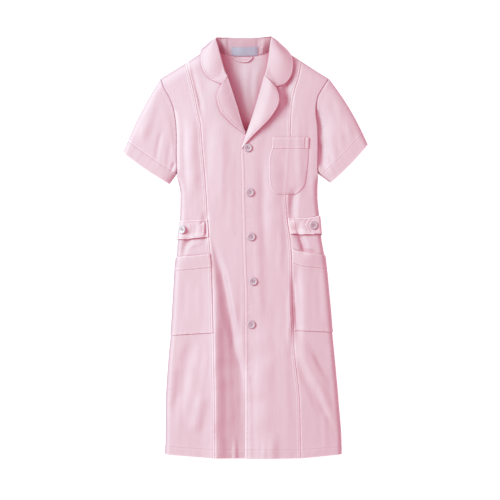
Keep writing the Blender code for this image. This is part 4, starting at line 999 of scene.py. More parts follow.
# ---- Half belt ----
# The half belt of the back, two layers of the same cloth, edge-stitched. It lies under the back, comes
# round the right side and ends in a point that is buttoned on the right tab.
BELT_WALL = 1.3
BELT_CLEAR = 0.9         # between the belt's end and the tab
BELT_LEFT_END, BELT_FLAT_END, BELT_TIP, BELT_POINT = -150.0, 166.0, 143.6, 12.0
BELT_EDGES = (29.0, 68.0)        # lower and upper edge below the back
BELT_OVER_EDGES = (33.0, 72.0)   # and on the tab
BELT_PLACES = (0, 0.01, 0.026, 0.046, 0.07, 0.086, 0.102, 0.13)   # shares of its width, stitched at 0.086
BELT_WIDE = 39.0
BELT_UNDER_END = 150.0   # as far as its columns under the back are evenly set
BELT_TURN_OUT = 5.6      # how far it reaches out as it turns up
BELT_LEAN = 3.5          # how much its upper edge rises at the turn
BELT_STITCH, BELT_TIP_STITCH = 3.3, 4.0
across = spaced(1.0, BELT_PLACES, BELT_PLACES, 0.06)[0]
from_middle = np.abs(2 * across - 1)
under_y = BELT_EDGES[0] + (BELT_EDGES[1] - BELT_EDGES[0]) * across
over_y = BELT_OVER_EDGES[0] + (BELT_OVER_EDGES[1] - BELT_OVER_EDGES[0]) * across
turn_x = side_x("right", under_y) - 1.8      # where it starts to turn up
belt_columns = []
belt_from_tip = []


def belt_top(x, y):
    """Outer face of the belt's end, which lies on the right tab and then level out to its turn."""
    below = front_height(np.minimum(x, BELT_FLAT_END), y) + OUTER + PATCH_GAP
    return below + TAB_WALL + BELT_CLEAR + BELT_WALL


belt_under = [BELT_LEFT_END + np.array((0, 0.5, 1.4, 3)), np.linspace(-140, BELT_UNDER_END, 60)]
for under_x in np.concatenate(belt_under):
    belt_columns.append((np.full_like(across, under_x), under_y, np.zeros_like(across)))
for step in np.linspace(0, 1, 6)[:-1]:
    under_x = BELT_UNDER_END + (turn_x - BELT_UNDER_END) * step
    belt_columns.append((under_x, under_y, np.zeros_like(across)))
turn_half = belt_top(np.full_like(across, BELT_FLAT_END), over_y) / 2
for angle in np.linspace(-math.pi / 2, math.pi / 2, 15):
    swing = smooth_step((angle + math.pi / 2) / math.pi)
    y = under_y + (over_y - under_y) * swing + BELT_LEAN * swing * across ** 2
    belt_columns.append((turn_x + BELT_TURN_OUT * math.cos(angle), y, turn_half * (1 + math.sin(angle))))
tip_x = BELT_TIP + BELT_POINT * from_middle ** 1.3
lean = BELT_LEAN * across ** 2
for step in np.concatenate([np.linspace(0.08, 0.9, 14), 1 - np.array((0.08, 0.06, 0.04, 0.025, 0.012, 0.0))]):
    over_x = np.clip(turn_x + (tip_x - turn_x) * step, tip_x, None)
    y = over_y + lean * until(step, 0, 0.6)
    from_edge = np.minimum(np.minimum(across, 1 - across) * BELT_WIDE, (over_x - tip_x) * 0.8)
    relief = (folded_edge(from_edge, BELT_STITCH, 0.25, 0.3)
              + 0.3 * ripple(over_x, y, 4.5, 6, 16) * bump(from_edge, 0, 6)
              + 0.2 * ripple(over_x, y, 9, 9, 17))
    belt_columns.append((over_x, y, belt_top(over_x, y) + relief))
    belt_from_tip.append(over_x - tip_x)
belt_face = np.stack([np.stack(column, axis=-1) for column in belt_columns], axis=1)[::-1]
# Painted light: the belt is painted lighter all over, and more along its edges.
belt_painted_light = 0.3 + 0.5 * bump(np.minimum(across, 1 - across)[::-1, None] * BELT_WIDE, 1.4, 1.8)
back_belt = cloth_piece("back_belt_cloth", belt_face, BELT_WALL, poly_cotton, painted_light=belt_painted_light)
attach(back_belt, "root")
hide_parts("back_belt")
belt_end = belt_face[:, -len(belt_from_tip):]
belt_from_tip = np.stack(belt_from_tip, axis=1)[::-1]
belt_lines = [run_at(belt_end, across[::-1, None], place, columns=True)[:-6] for place in (0.086, 0.914)]
belt_lines.append(run_at(belt_end[3:-3], belt_from_tip[3:-3], BELT_TIP_STITCH))
sew("back_belt", belt_lines)

# ---- Lapels ----
# The tops of the centre fronts with their facings, turned back along the roll lines. Two layers with a
# light interfacing, turned out and topstitched 4.6 mm from the edge; the free edges stand off the fronts.
LAPEL_WALL = 1.3
LAPEL_STITCH = 4.6
TURN_STEPS = 10          # columns of a grid that go round a roll
# height of the roll, then the free edge: x, y, and how far it stands off
LAPELS = {
    "left": ((410.0, -57.4, 390.2, 5.0), (398.5, -65.4, 376.0, 6.5), (385.0, -68.8, 360.0, 7.5),
             (368.0, -65.6, 345.0, 7.5), (350.0, -58.2, 325.0, 7.0), (328.0, -43.0, 307.5, 6.0),
             (305.0, -26.0, 290.5, 4.5), (288.0, -10.4, 279.0, 2.8), (277.0, -1.6, 272.0, 1.0)),
    "right": ((411.4, 72.6, 384.2, 7.5), (397.5, 79.6, 368.0, 10.0), (381.5, 81.6, 352.5, 11.0),
              (363.0, 77.6, 338.0, 11.0), (343.0, 67.0, 320.0, 10.0), (323.0, 54.6, 303.5, 8.5),
              (302.0, 35.6, 284.5, 6.5), (282.0, 17.4, 266.5, 4.5), (257.0, 2.6, 250.5, 2.2),
              (236.5, -6.8, 239.0, 0.6)),
}


def roll_line(side, y):
    """X of the roll line of a lapel, which the centre front's inner edge follows."""
    return smooth_curve(tabled("level") + tabled("neck_rise"), tabled("edge_" + side), y)


def lap_right(x, y):
    """How far the right centre front is raised over the left one."""
    seam = row_value("seam_right", y)
    share = (seam - x) / (seam - roll_line("right", y))
    return LAYER * smooth_step((share - 0.5) / 0.26)


for side, lapel_rows in LAPELS.items():
    table = np.array(lapel_rows, float)
    run = np.concatenate([[0], np.cumsum(np.hypot(np.diff(table[:, 1]), np.diff(table[:, 2])))])
    at = np.concatenate([[0, 0.5, 1.4, 2.8], np.linspace(5.5, run[-1] - 2, 60), [run[-1]]])
    roll_y, edge_x, edge_y, stand = (smooth_curve(run, table[:, k], at)[:, None] for k in range(4))
    roll_x = roll_line(side, roll_y)
    reach = np.hypot(edge_x - roll_x, edge_y - roll_y)
    radius = np.minimum(1.35 + (0.03 if side == "left" else 0.10) * stand, 0.4 * reach)
    scale = np.minimum(1, (reach - radius) / 14)
    from_edge = np.array((0, 0.35, 0.9, 1.7, 2.8, 3.9, 4.6, 5.3, 6.4, 8.2)) * scale
    even = np.linspace(0, 1, 18)[:-1]
    along = np.concatenate([radius + (reach - radius - from_edge[:, -1:]) * even,
                            reach - from_edge[:, ::-1]], axis=1)
    turn_angle = np.linspace(-math.pi / 2, math.pi / 2, TURN_STEPS + 1)[None, :-1]
    along = np.concatenate([radius - radius * np.cos(turn_angle), along], axis=1)
    x = roll_x + (edge_x - roll_x) * along / reach
    y = roll_y + (edge_y - roll_y) * along / reach
    lap = lap_right(x, y) if side == "right" else 0.0
    share = np.clip((along - radius) / (reach - radius), 0, 1)
    first = 2 * radius - WALL - LAPEL_WALL
    turn = 18 if side == "left" else 19
    clear = (first + (0.93 * stand + 0.3 - first) * smooth_step(share ** 0.8)
             + 0.16 * stand * np.sin(math.pi * share) + 0.45 * ripple(x, y, 18, 26, turn) * share)
    edge_off = reach - along
    clear = clear + folded_edge(edge_off, LAPEL_STITCH, 0.3, 0.38) * scale
    clear = clear + 0.20 * ripple(x - y, edge_off, 6, 60, turn) * bump(edge_off, 4, 4)
    z = front_height(x, y) + lap + OUTER + clear + LAPEL_WALL
    z[:, :TURN_STEPS] = z[:, TURN_STEPS:TURN_STEPS + 1] - radius + radius * np.sin(turn_angle)
    grid, edge_off = np.stack([x, y, z], axis=-1)[::-1], edge_off[::-1]
    if side == "left":
        grid, edge_off = grid[:, ::-1], edge_off[:, ::-1]
    # Painted highlight: the right lapel is painted a little lighter, and much lighter along its free edge;
    # the left lapel is not.
    painted_light = 0.15 + 0.85 * bump(edge_off, 0.6, 1.9) if side == "right" else 0.0
    lapel = cloth_piece("lapel_%s_cloth" % side, grid, LAPEL_WALL, poly_cotton, painted_light=painted_light)
    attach(lapel, "root")
    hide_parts("lapel_" + side)
    sew("lapel_" + side, [run_at(grid, edge_off, LAPEL_STITCH)[4:-6]])

# ---- Collar ----
# A notch collar with rounded ends: two layers with interfacing, turned out and topstitched near the edge.
# The outer part falls over the shoulders at the sides and stands up behind the neck, where it goes down to
# the table and turns under.
COLLAR_WALL = 1.4
COLLAR_STITCH = 4.4
FALL_LEAN = 0.4          # how far it leans out on its way down behind the neck
UNDER_TURN = 1.5         # radius of its turn at the table
UNDER_HEIGHT = 0.1       # its height over the table from there on
COLLAR_MIDDLE = 11       # the row of the table below that lies behind the middle of the neck
# roll: x, y, z. Free edge: x, y, z. bulge between them, tuck under the back, radius of the roll
COLLAR_ROWS = np.array((
    (-42.0, 411.0, 22,  -57.4, 391.2,  18, 1,  0, 2.8),
    (-46.8,   419, 23,  -71.5,   397,  19, 2,  0, 3.0),
    (-50.4,   430, 24,  -86.5, 404.5,  20, 3,  0, 3.2),
    (-54.4,   444, 25,  -98.7,   418,  20, 4,  0, 3.2),
    (-58.2,   458, 26, -105.8,   436,  18, 4,  0, 3.2),
    (-62.0,   472, 26, -108.7,   455,  15, 4,  0, 3.2),
    (-65.3,   485, 26, -108.4,   471,  10, 5,  0, 3.0),
    (-69.0,   498, 26,  -95.0,   486, 0.8, 7,  0, 2.6),
    (-66.5,   503, 25,  -79.0,   499, 0.6, 4,  8, 2.2),
    (-52.0, 500.5, 24,  -54.0,   502, 1.6, 1, 30, 2.0),
    (-25.0,   499, 23,  -25.0,   501, 1.6, 0, 37, 2.0),
    (  5.0,   499, 23,    5.0,   501, 1.6, 0, 37, 2.0),
    ( 32.0, 499.8, 24,   33.0,   502, 1.6, 0, 36, 2.0),
    ( 48.0, 502.5, 25,   51.0,   504, 1.6, 1, 28, 2.0),
    ( 60.0, 505.5, 26,   68.0,   503, 0.6, 4,  8, 2.2),
    ( 61.0,   500, 26,   88.0,   487, 0.6, 7,  0, 2.6),
    ( 58.6,   485, 27,  105.6,   469,   6, 7,  0, 3.0),
    ( 56.8,   470, 27,  112.6,   455,  17, 6,  0, 3.2),
    ( 55.2,   455, 26,  114.6,   438,  21, 5,  0, 3.2),
    ( 52.6,   440, 26,  112.6,   420,  22, 4,  0, 3.2),
    ( 50.0,   426, 25,  106.0, 404.5,  22, 3,  0, 3.2),
    ( 47.8,   417, 24,   92.5, 391.0,  21, 2,  0, 3.0),
    ( 45.6, 412.4, 23,   73.2, 385.4,  20, 1,  0, 2.8),
), float)
collar_middle = (COLLAR_ROWS[:, 0:2] + COLLAR_ROWS[:, 3:5]) / 2
collar_run = np.concatenate([[0], np.cumsum(np.hypot(*np.diff(collar_middle, axis=0).T)
                                            + 0.5 * np.hypot(*np.diff(COLLAR_ROWS[:, 3:5], axis=0).T))])
collar_at = np.concatenate([[0, 0.5, 1.4, 2.8], np.linspace(5, collar_run[-1] - 5, 190),
                            collar_run[-1] - np.array((2.8, 1.4, 0.5, 0))])
(roll_x, roll_y, roll_z, edge_x, edge_y, edge_z, bulge, tuck, radius) = (
    smooth_curve(collar_run, COLLAR_ROWS[:, k], collar_at)[:, None] for k in range(9))
out_x, out_y = edge_x - roll_x, edge_y - roll_y
reach = np.hypot(out_x, out_y)
out_x, out_y = out_x / reach, out_y / reach
behind = smooth_step(tuck / 26)
turn_angle = np.linspace(-math.pi / 3, math.pi / 2, TURN_STEPS)[None, :]
from_edge = np.array((0, 0.35, 0.9, 1.7, 2.7, 3.7, 4.4, 5.1, 6.2, 8.0))
scale = np.minimum(1, (reach - radius) / 14)
fall = np.concatenate([radius + (reach - radius - 8.0 * scale) * np.linspace(0, 1, 21)[1:-1],
                       reach - from_edge[::-1] * scale], axis=1)
side_off = np.concatenate([radius - radius * np.cos(turn_angle), fall], axis=1)
share = np.clip((side_off - radius) / (reach - radius), 0, 1)
line_z = roll_z + COLLAR_WALL + (edge_z - roll_z) * share + bulge * np.sin(math.pi * share)
x, y = roll_x + out_x * side_off, roll_y + out_y * side_off
on_body = (x > side_x("left", y) - 3) & (x < side_x("right", y) + 3) & (shoulder_reach(x, y) > -3)
near_rest = front_height(x, y) + np.where(x > 0, lap_right(x, y), 0) + OUTER + COLLAR_WALL + 1.3
lifted = np.maximum(line_z - near_rest, 0)
side_z = np.where(on_body, near_rest + np.sqrt(lifted ** 2 + 1.0) - 0.4, line_z)
edge_off = reach - side_off
side_z = side_z + folded_edge(edge_off, COLLAR_STITCH, 0.3, 0.38) * scale * (share > 0)
side_z = side_z + 0.35 * ripple(x, y, 22, 30, 20) * share
side_z[:, :TURN_STEPS] = side_z[:, TURN_STEPS - 1:TURN_STEPS] - radius + radius * np.sin(turn_angle)
# Behind the neck: over the roll, straight down to the table, and under towards the neck seam
down_top = roll_z + COLLAR_WALL
quarter, under_quarter = (np.linspace(0, math.pi / 2, steps)[None, 1:] for steps in (7, 5))
down, under = (np.linspace(0, 1, steps)[None, 1:] for steps in (9, 12))
back_off = np.concatenate([radius - radius * np.cos(turn_angle), radius + radius * np.sin(quarter),
                           2 * radius + FALL_LEAN * down,
                           2 * radius + FALL_LEAN - UNDER_TURN * (1 - np.cos(under_quarter)),
                           2 * radius + FALL_LEAN - UNDER_TURN - (tuck + 3) * under], axis=1)
zero = 0 * radius
back_z = np.concatenate([down_top - radius + radius * np.sin(turn_angle),
                         down_top - radius + radius * np.cos(quarter),
                         down_top - radius + (UNDER_HEIGHT + UNDER_TURN - down_top + radius) * down,
                         UNDER_HEIGHT + UNDER_TURN * (1 - np.sin(under_quarter)) + zero,
                         UNDER_HEIGHT + zero * under], axis=1)
x = x * (1 - behind) + (roll_x + out_x * back_off) * behind
y = y * (1 - behind) + (roll_y + out_y * back_off) * behind
z = side_z * (1 - behind) + back_z * behind
# Painted highlight along the free edge on the right half, and painted light over the part behind the neck,
# where it would be in shade.
collar_painted_light = (0.1 + 0.65 * bump(edge_off, 0.6, 1.9)) * smooth_step(x / 40) * (1 - behind) + 0.8 * behind
collar = cloth_piece("collar_fall_cloth", np.stack([x, y, z], axis=-1)[::-1], COLLAR_WALL, poly_cotton,
                     painted_light=collar_painted_light[::-1])
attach(collar, "root")
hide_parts("collar_fall")
collar_line = run_at(np.stack([x, y, z], axis=-1), edge_off, COLLAR_STITCH)
collar_shown = behind[:, 0] < 0.02
collar_turn = int(np.argmin(np.abs(collar_at - collar_run[COLLAR_MIDDLE])))
collar_lines = [collar_line[:collar_turn][collar_shown[:collar_turn]],
                collar_line[collar_turn:][collar_shown[collar_turn:]]]
sew("collar_fall", [line[4:-4] for line in collar_lines])

# ---- Collar stand ----
# The inner part of the collar, in the same cloth, which rises from the back's neck seam to the roll. It
# shows inside the neck, with soft upright folds at its ends.
STAND_LEFT, STAND_RIGHT, STAND_TOP = -62.5, 58.5, 22.6
STAND_THICK = 1.4        # cloth with its allowances, as the solid has it
STAND_LINES = (
    (-59, 455, -60, 505, 0,  5,  5, -1.8),
    (-48, 455, -49, 505, 0,  4,  5,  1.4),
    (-40, 458, -41, 505, 0,  3,  4, -0.9),
    ( -8, 455,  -8, 500, 0, 18, 18,  0.8),
    ( 27, 456,  29, 505, 0,  4,  7, -0.8),
    ( 42, 456,  45, 505, 0,  8,  8,  1.5),
)


def stand_point(x, share):
    """A point of the stand's inner face: share 0 is its neck seam, share 1 its roll.

    Its ends reach out to the shoulder seams below, and to the ends of the roll above."""
    spread = (x - (STAND_LEFT + STAND_RIGHT) / 2) / ((STAND_RIGHT - STAND_LEFT) / 2)
    x = x + 7 * spread ** 3 * share + 12 * spread ** 9 * (1 - share)
    low_y, high_y = neck_y(x) + 1.4, 499.2 + 2.6 * spread ** 2 + 1.4 * spread
    y = low_y + (high_y - low_y) * share
    z = 0.4 + (STAND_TOP - 0.4) * share ** 1.15 + 1.5 * np.sin(math.pi * share)
    z = z + line_relief(STAND_LINES, x, y)
    return np.stack(np.broadcast_arrays(x, y, z), axis=-1)


stand_x = np.linspace(STAND_LEFT, STAND_RIGHT, 60)[None, :]
stand_up = np.concatenate([[0, 0.012, 0.035, 0.07, 0.1], np.linspace(0.14, 0.95, 15), [0.975, 0.99, 1]])
stand_up = stand_up[:, None]
stand_groove = -0.5 * bump(stand_up, 0, 0.03) + 0.3 * bump(stand_up, 0.07, 0.04)
stand_face = moved_out(stand_point(stand_x, stand_up), STAND_THICK + stand_groove)
# Painted light: the stand is painted a little lighter, and more so towards its right end.
stand = cloth_piece("collar_stand_cloth", stand_face, WALL, poly_cotton,
                    painted_light=0.2 + 0.55 * smooth_step((stand_x - 22) / 12))
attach(stand, "root")
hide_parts("collar_stand")

# ---- Neck label, size tag and hanging loop ----
# The label is a woven satin tape with its ends folded under, sewn on the stand all round and left bare.
# The tag beside it is a short taffeta tape. The loop is a strip of the dress's cloth, folded in three and
# caught in the neck seam, with its right end folded back up.
LABEL_WALL, TAPE_GAP = 0.6, 0.25
STAND_TALL = 44.0        # along the stand's cloth
TAPE_EDGE = (0, 0.3, 0.8, 1.4, 2.0, 2.8)
TAPE_FOLD = (0, 0.3, 0.8, 1.3, 1.9)
# Satin floats run along the tape. They give the eye a cool grey-blue with a slight silky shine; the real
# picks are 0.2 mm apart, and they are drawn at 0.7 mm.
TAPE_PICK = 0.0007
satin_tape, satin_place = new_material("woven_polyester_satin_tape", {
    "Roughness": 0.42, "Specular IOR Level": 0.4})
satin_picks = add_node(satin_tape, "ShaderNodeTexWave",
                       {"wave_type": "BANDS", "bands_direction": "Y", "Scale": math.pi / 10 / TAPE_PICK,
                        "Distortion": 1.5, "Detail": 1.0}, [("Vector", satin_place)])
satin_cloud = add_node(satin_tape, "ShaderNodeTexNoise", {"Scale": 180.0, "Detail": 2.0},
                       [("Vector", satin_place)])
satin_mixed = add_node(satin_tape, "ShaderNodeMix", {"data_type": "FLOAT", 0: 0.5},
                       [(2, satin_picks.outputs["Fac"]), (3, satin_cloud.outputs["Fac"])])
satin_tint = add_node(satin_tape, "ShaderNodeValToRGB", {}, [("Fac", satin_mixed.outputs[0])])
for stop, code in zip(satin_tint.color_ramp.elements, ("#B2B6CB", "#C9CCDC")):
    stop.color = linear(code)
satin_bump = add_node(satin_tape, "ShaderNodeBump", {"Strength": 0.3, "Distance": 0.0001},
                      [("Height", satin_picks.outputs["Fac"])])
give_look(satin_tape, satin_tint.outputs["Color"], satin_bump.outputs["Normal"])

# Plain taffeta ribbon. It gives the eye a paler pink than the cloth, a little crisper and smoother. Its real
# ribs are 0.3 mm apart, and they are drawn like the satin's picks.
taffeta_tape, taffeta_place = new_material("polyester_taffeta_tape", {"Roughness": 0.55})
taffeta_ribs = add_node(taffeta_tape, "ShaderNodeTexWave",
                        {"wave_type": "BANDS", "bands_direction": "X", "Scale": math.pi / 10 / TAPE_PICK,
                         "Distortion": 1.0}, [("Vector", taffeta_place)])
taffeta_tint = add_node(taffeta_tape, "ShaderNodeValToRGB", {}, [("Fac", taffeta_ribs.outputs["Fac"])])
for stop, code in zip(taffeta_tint.color_ramp.elements, ("#DDB9C6", "#E6C8D2")):
    stop.color = linear(code)
taffeta_bump = add_node(taffeta_tape, "ShaderNodeBump", {"Strength": 0.25, "Distance": 0.0001},
                        [("Height", taffeta_ribs.outputs["Fac"])])
give_look(taffeta_tape, taffeta_tint.outputs["Color"], taffeta_bump.outputs["Normal"])

# left, right, lowest and highest share of the stand, material, slot
STAND_TAPES = {"neck_label": (-32.6, 30.0, 0.055, 0.56, satin_tape, "label_tape"),
               "size_tag": (33.5, 41.5, 0.10, 0.46, taffeta_tape, "tag_tape")}
for tape_name, (left, right, low, high, tape_material, tape_slot) in STAND_TAPES.items():
    width, tall = right - left, (high - low) * STAND_TALL
    tape_off = spaced(width, TAPE_EDGE, TAPE_EDGE, 2.0)[0]
    tape_up = spaced(tall, TAPE_FOLD, TAPE_FOLD, 1.4)[0][:, None]
    tape_x = np.broadcast_to(left + tape_off, (tape_up.size, tape_off.size))
    inset = np.minimum(np.minimum(tape_off, width - tape_off), np.minimum(tape_up, tall - tape_up))
    puff = (0.25 * smooth_step(inset / 1.2) - 0.25 * bump(inset, 1.4, 0.5)
            + 0.18 * ripple(tape_x, tape_up, 11, 9, 21))
    tape_share = low + (high - low) * tape_up / tall
    face = moved_out(stand_point(tape_x, tape_share), STAND_THICK + TAPE_GAP + LABEL_WALL + puff)
    tape = cloth_piece(tape_name + "_tape", face, LABEL_WALL, tape_material)
    seams = [run_at(face, tape_up, at, columns=True) for at in (1.3, tall - 1.3)]
    if tape_name == "size_tag":
        seams = seams[1:]
    else:
        seams += [run_at(face, tape_off, at) for at in (1.5, width - 1.5)]
    tape_thread = sew(tape_name, seams)
    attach(tape, "root")
    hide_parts(tape_name)

# the loop's middle line: x, y, height above the back; its half width and half thickness
LOOP_LINE = np.array(((-29, 458.5, 0.9), (-26, 454.6, 1.0), (-20, 450.6, 1.4), (-11, 447.6, 2.0),
                      (-3, 446.6, 2.4), (4, 447.0, 2.6), (9, 449.6, 2.8), (13, 453.6, 2.6),
                      (16.5, 458.5, 2.0)))
LOOP_HALF_WIDE, LOOP_HALF_THICK, LOOP_RISE = 2.1, 0.75, 1.9
LOOP_STEPS, LOOP_SIDES = 60, 16
loop_run = np.concatenate([[0], np.cumsum(np.linalg.norm(np.diff(LOOP_LINE, axis=0), axis=1))])
loop_at = np.linspace(0, loop_run[-1], LOOP_STEPS)
loop_line = np.stack([smooth_curve(loop_run, LOOP_LINE[:, k], loop_at) for k in range(3)], axis=-1)
loop_line[:, 2] += LOOP_RISE
loop_way = np.gradient(loop_line, axis=0)
loop_way /= np.linalg.norm(loop_way, axis=1, keepdims=True)
loop_side = np.cross((0.0, 0.0, 1.0), loop_way)
loop_side /= np.linalg.norm(loop_side, axis=1, keepdims=True)
loop_up = np.cross(loop_way, loop_side)
round_loop = np.arange(LOOP_SIDES) / LOOP_SIDES * 2 * math.pi
loop_wide = LOOP_HALF_WIDE * np.sign(np.cos(round_loop)) * np.abs(np.cos(round_loop)) ** 0.7
loop_thick = LOOP_HALF_THICK * np.sign(np.sin(round_loop)) * np.abs(np.sin(round_loop)) ** 0.8
loop_thick = loop_thick - 0.25 * bump(np.abs(loop_wide), 1.2, 0.4) * np.sign(np.sin(round_loop))
loop_points = (loop_line[:, None] + loop_side[:, None] * loop_wide[None, :, None]
               + loop_up[:, None] * loop_thick[None, :, None]).reshape(-1, 3)
loop_index = np.arange(LOOP_STEPS * LOOP_SIDES).reshape(LOOP_STEPS, LOOP_SIDES)
loop_next = np.roll(loop_index, -1, axis=1)
loop_faces = np.stack([loop_index[:-1], loop_index[1:], loop_next[1:], loop_next[:-1]], axis=-1)
loop_faces = loop_faces.reshape(-1, 4).tolist() + [loop_index[0].tolist(), loop_index[-1, ::-1].tolist()]
hanging_loop = add_mesh("hanging_loop_strip", loop_points, loop_faces, poly_cotton)
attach(hanging_loop, "root")
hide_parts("hanging_loop")

# ---- Buttons ----
# Seven turned buttons of pearly polyester resin, 20 mm across, with a raised rim, a dished middle and four
# holes. Each is sewn on with two bars of thread, through the right front or through its tab.
BUTTON_RADIUS, BUTTON_THICK, BUTTON_SIDES = 10.0, 2.6, 56
BUTTON_OUT, BUTTON_REACH = 0.35, 8.0       # off the cloth, and how far out the cloth under it is felt
HOLE_RADIUS, HOLE_PLACE = 0.95, 2.1
BAR_STRANDS = (-2.55, -2.15, -1.75, 1.75, 2.15, 2.55)   # two bars of three strands each
BUTTONS = {"front_button_1": (6.5, 238.5), "front_button_2": (11.4, 131.6), "front_button_3": (14.5, 25.3),
           "front_button_4": (19.1, -81.5), "front_button_5": (14.5, -184.9),
           "tab_button_left": (-151.1, 42.4), "tab_button_right": (164.0, 53.0)}
# Cast polyester with pearl pigment, turned and tumbled. It gives the eye a pale pinkish grey that glows a
# little, faint swirls of pigment and a smooth, low shine.
pearl_resin, pearl_place = new_material("cast_polyester_pearl_resin", {
    "Roughness": 0.4, "IOR": 1.55, "Coat Weight": 0.15, "Coat Roughness": 0.2})
pearl_swirl = add_node(pearl_resin, "ShaderNodeTexNoise", {"Scale": 260.0, "Detail": 3.0, "Distortion": 2.5},
                       [("Vector", pearl_place)])
pearl_tint = add_node(pearl_resin, "ShaderNodeValToRGB", {}, [("Fac", pearl_swirl.outputs["Fac"])])
for stop, place, code in zip(pearl_tint.color_ramp.elements, (0.3, 0.7), ("#BC9FAC", "#C9B2BE")):
    stop.position, stop.color = place, linear(code)
pearl_grain = add_node(pearl_resin, "ShaderNodeBump", {"Strength": 0.08, "Distance": 0.0002},
                       [("Height", pearl_swirl.outputs["Fac"])])
give_look(pearl_resin, pearl_tint.outputs["Color"], pearl_grain.outputs["Normal"])

# the button's section from the middle of its face to the middle of its back: share of radius, of thickness
BUTTON_SECTION = ((0.0, 0.62), (0.2, 0.62), (0.4, 0.64), (0.52, 0.69), (0.60, 0.79), (0.67, 0.91),
                  (0.74, 0.98), (0.82, 1.0), (0.90, 0.95), (0.96, 0.80), (0.99, 0.62), (1.0, 0.45),
                  (0.98, 0.25), (0.92, 0.08), (0.84, 0.0), (0.0, 0.0))
turned = bmesh.new()
corners = [turned.verts.new((share * BUTTON_RADIUS * MM, 0, rise * BUTTON_THICK * MM))
           for share, rise in BUTTON_SECTION]
for first, second in zip(corners[:-1], corners[1:]):
    turned.edges.new((first, second))
bmesh.ops.spin(turned, geom=turned.verts[:] + turned.edges[:], cent=(0, 0, 0), axis=(0, 0, 1),
               angle=2 * math.pi, steps=BUTTON_SIDES, use_duplicate=False)
bmesh.ops.remove_doubles(turned, verts=turned.verts[:], dist=0.00002)
bmesh.ops.recalc_face_normals(turned, faces=turned.faces[:])
button_mesh = bpy.data.meshes.new("turned_button")
turned.to_mesh(button_mesh)
turned.free()
drills = bmesh.new()
for across_x, across_y in ((-1, -1), (-1, 1), (1, -1), (1, 1)):
    hole = bmesh.ops.create_cone(drills, cap_ends=True, segments=16, radius1=HOLE_RADIUS * MM,
                                 radius2=HOLE_RADIUS * MM, depth=8 * MM)
    bmesh.ops.translate(drills, verts=hole["verts"],
                        vec=(across_x * HOLE_PLACE * MM, across_y * HOLE_PLACE * MM, 0))
drill_mesh = bpy.data.meshes.new("button_drills")
drills.to_mesh(drill_mesh)
drills.free()
blank = bpy.data.objects.new("button_blank", button_mesh)
drill = bpy.data.objects.new("button_drill", drill_mesh)
for item in (blank, drill):
    bpy.context.scene.collection.objects.link(item)
boring = blank.modifiers.new("holes", "BOOLEAN")
boring.object = drill
boring.operation = "DIFFERENCE"
bpy.context.view_layer.update()
button_mesh = bpy.data.meshes.new_from_object(blank.evaluated_get(bpy.context.evaluated_depsgraph_get()))
for item in (blank, drill):
    bpy.data.objects.remove(item)
button_mesh.materials.clear()
button_mesh.materials.append(pearl_resin)
button_mesh.shade_smooth()
button_mesh.set_sharp_from_angle(angle=math.radians(45))

button_bars = []
for button_name, (x, y) in BUTTONS.items():
    felt = {(dx, dy): float(front_height(x + BUTTON_REACH * dx, y + BUTTON_REACH * dy))
            for dx, dy in ((0, 0), (1, 0), (-1, 0), (0, 1), (0, -1))}
    rise_x, rise_y = (felt[1, 0] - felt[-1, 0]) / 2, (felt[0, 1] - felt[0, -1]) / 2
    base = max(height - rise_x * dx - rise_y * dy for (dx, dy), height in felt.items())
    if button_name == "tab_button_left":
        base += OUTER + PATCH_GAP + TAB_WALL + 0.5
    elif button_name == "tab_button_right":
        base += OUTER + PATCH_GAP + TAB_WALL + BELT_CLEAR + BELT_WALL + 0.2
    else:
        base += OUTER + LAYER
    normal = Vector((-rise_x / BUTTON_REACH, -rise_y / BUTTON_REACH, 1)).normalized()
    button_turn = normal.to_track_quat("Z", "Y") @ Quaternion((0, 0, 1), 0.7 * math.sin(37 * y))
    button = bpy.data.objects.new(button_name + "_resin", button_mesh.copy())
    button.location = (Vector((x, y, base)) + normal * BUTTON_OUT) * MM
    button.rotation_mode = "QUATERNION"
    button.rotation_quaternion = button_turn
    bpy.context.scene.collection.objects.link(button)
    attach(button, "root")
    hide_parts(button_name)
    for strand in BAR_STRANDS:
        bow = np.linspace(-1, 1, 9)
        rise = BUTTON_SECTION[0][1] * BUTTON_THICK + 0.65 - 1.6 * bow ** 4
        local = np.stack([bow * HOLE_PLACE, np.full(9, strand), rise], axis=-1)
        button_bars.append([tuple(button.location / MM + button_turn @ Vector(point)) for point in local])
sew("buttons", [np.array(bar) for bar in button_bars], whole=True)

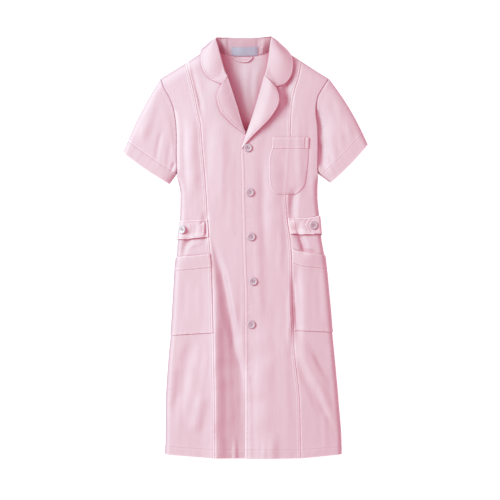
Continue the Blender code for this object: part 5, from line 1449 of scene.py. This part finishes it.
# ---- Table and light ----
# A plain opal light table, lit from inside, gives the white ground of the photo's cut-out. The window is at
# the upper left, and the camera straight above. Window and room are tinted against each other: lit cloth
# keeps its own pink, and its shadows take the deeper pink that they have in the photo.
opal_acrylic, board_place = new_material("matt_opal_acrylic", {
    "Roughness": 0.9, "Specular IOR Level": 0.1, "Emission Color": linear("#FFFFFF"),
    "Emission Strength": 0.85})
board_noise = add_node(opal_acrylic, "ShaderNodeTexNoise", {"Scale": 60.0, "Detail": 4.0},
                       [("Vector", board_place)])
board_tint = add_node(opal_acrylic, "ShaderNodeValToRGB", {}, [("Fac", board_noise.outputs["Fac"])])
for stop, code in zip(board_tint.color_ramp.elements, ("#BCBCBC", "#C0C0C0")):
    stop.color = linear(code)
give_look(opal_acrylic, board_tint.outputs["Color"])
table = add_mesh("table", np.array([(x, y, -0.3) for y in (-4000, 4000) for x in (-4000, 4000)], float),
                 np.array([(0, 1, 3, 2)]), opal_acrylic)

KEY_FROM = Vector((-3.7, 1.9, 2.55))
key = bpy.data.lights.new("window_light", "AREA")
key.shape = "RECTANGLE"
key.size = 2.6
key.size_y = 2.0
key.energy = 348
key.color = (0.45, 1.0, 0.87)
key_holder = bpy.data.objects.new("window_light", key)
key_holder.location = KEY_FROM
key_holder.rotation_euler = (-KEY_FROM).to_track_quat("-Z", "Y").to_euler()
bpy.context.scene.collection.objects.link(key_holder)

room = bpy.data.worlds.new("pale_room")
room.use_nodes = True
room_light = room.node_tree.nodes["Background"]
room_light.inputs["Color"].default_value = (1.0, 0.56, 0.655, 1.0)
room_light.inputs["Strength"].default_value = 0.84
bpy.context.scene.world = room
bpy.context.scene.view_settings.view_transform = "Standard"

CAMERA_AT = (0.01116, -0.00636, 5.01)    # its picture is 1.2 m wide at the dress, as the photo's is
camera = bpy.data.cameras.new("camera")
camera.lens = 150
camera.sensor_width = 36
camera.clip_end = 50
camera_holder = bpy.data.objects.new("camera", camera)
camera_holder.location = CAMERA_AT
bpy.context.scene.collection.objects.link(camera_holder)
bpy.context.scene.camera = camera_holder
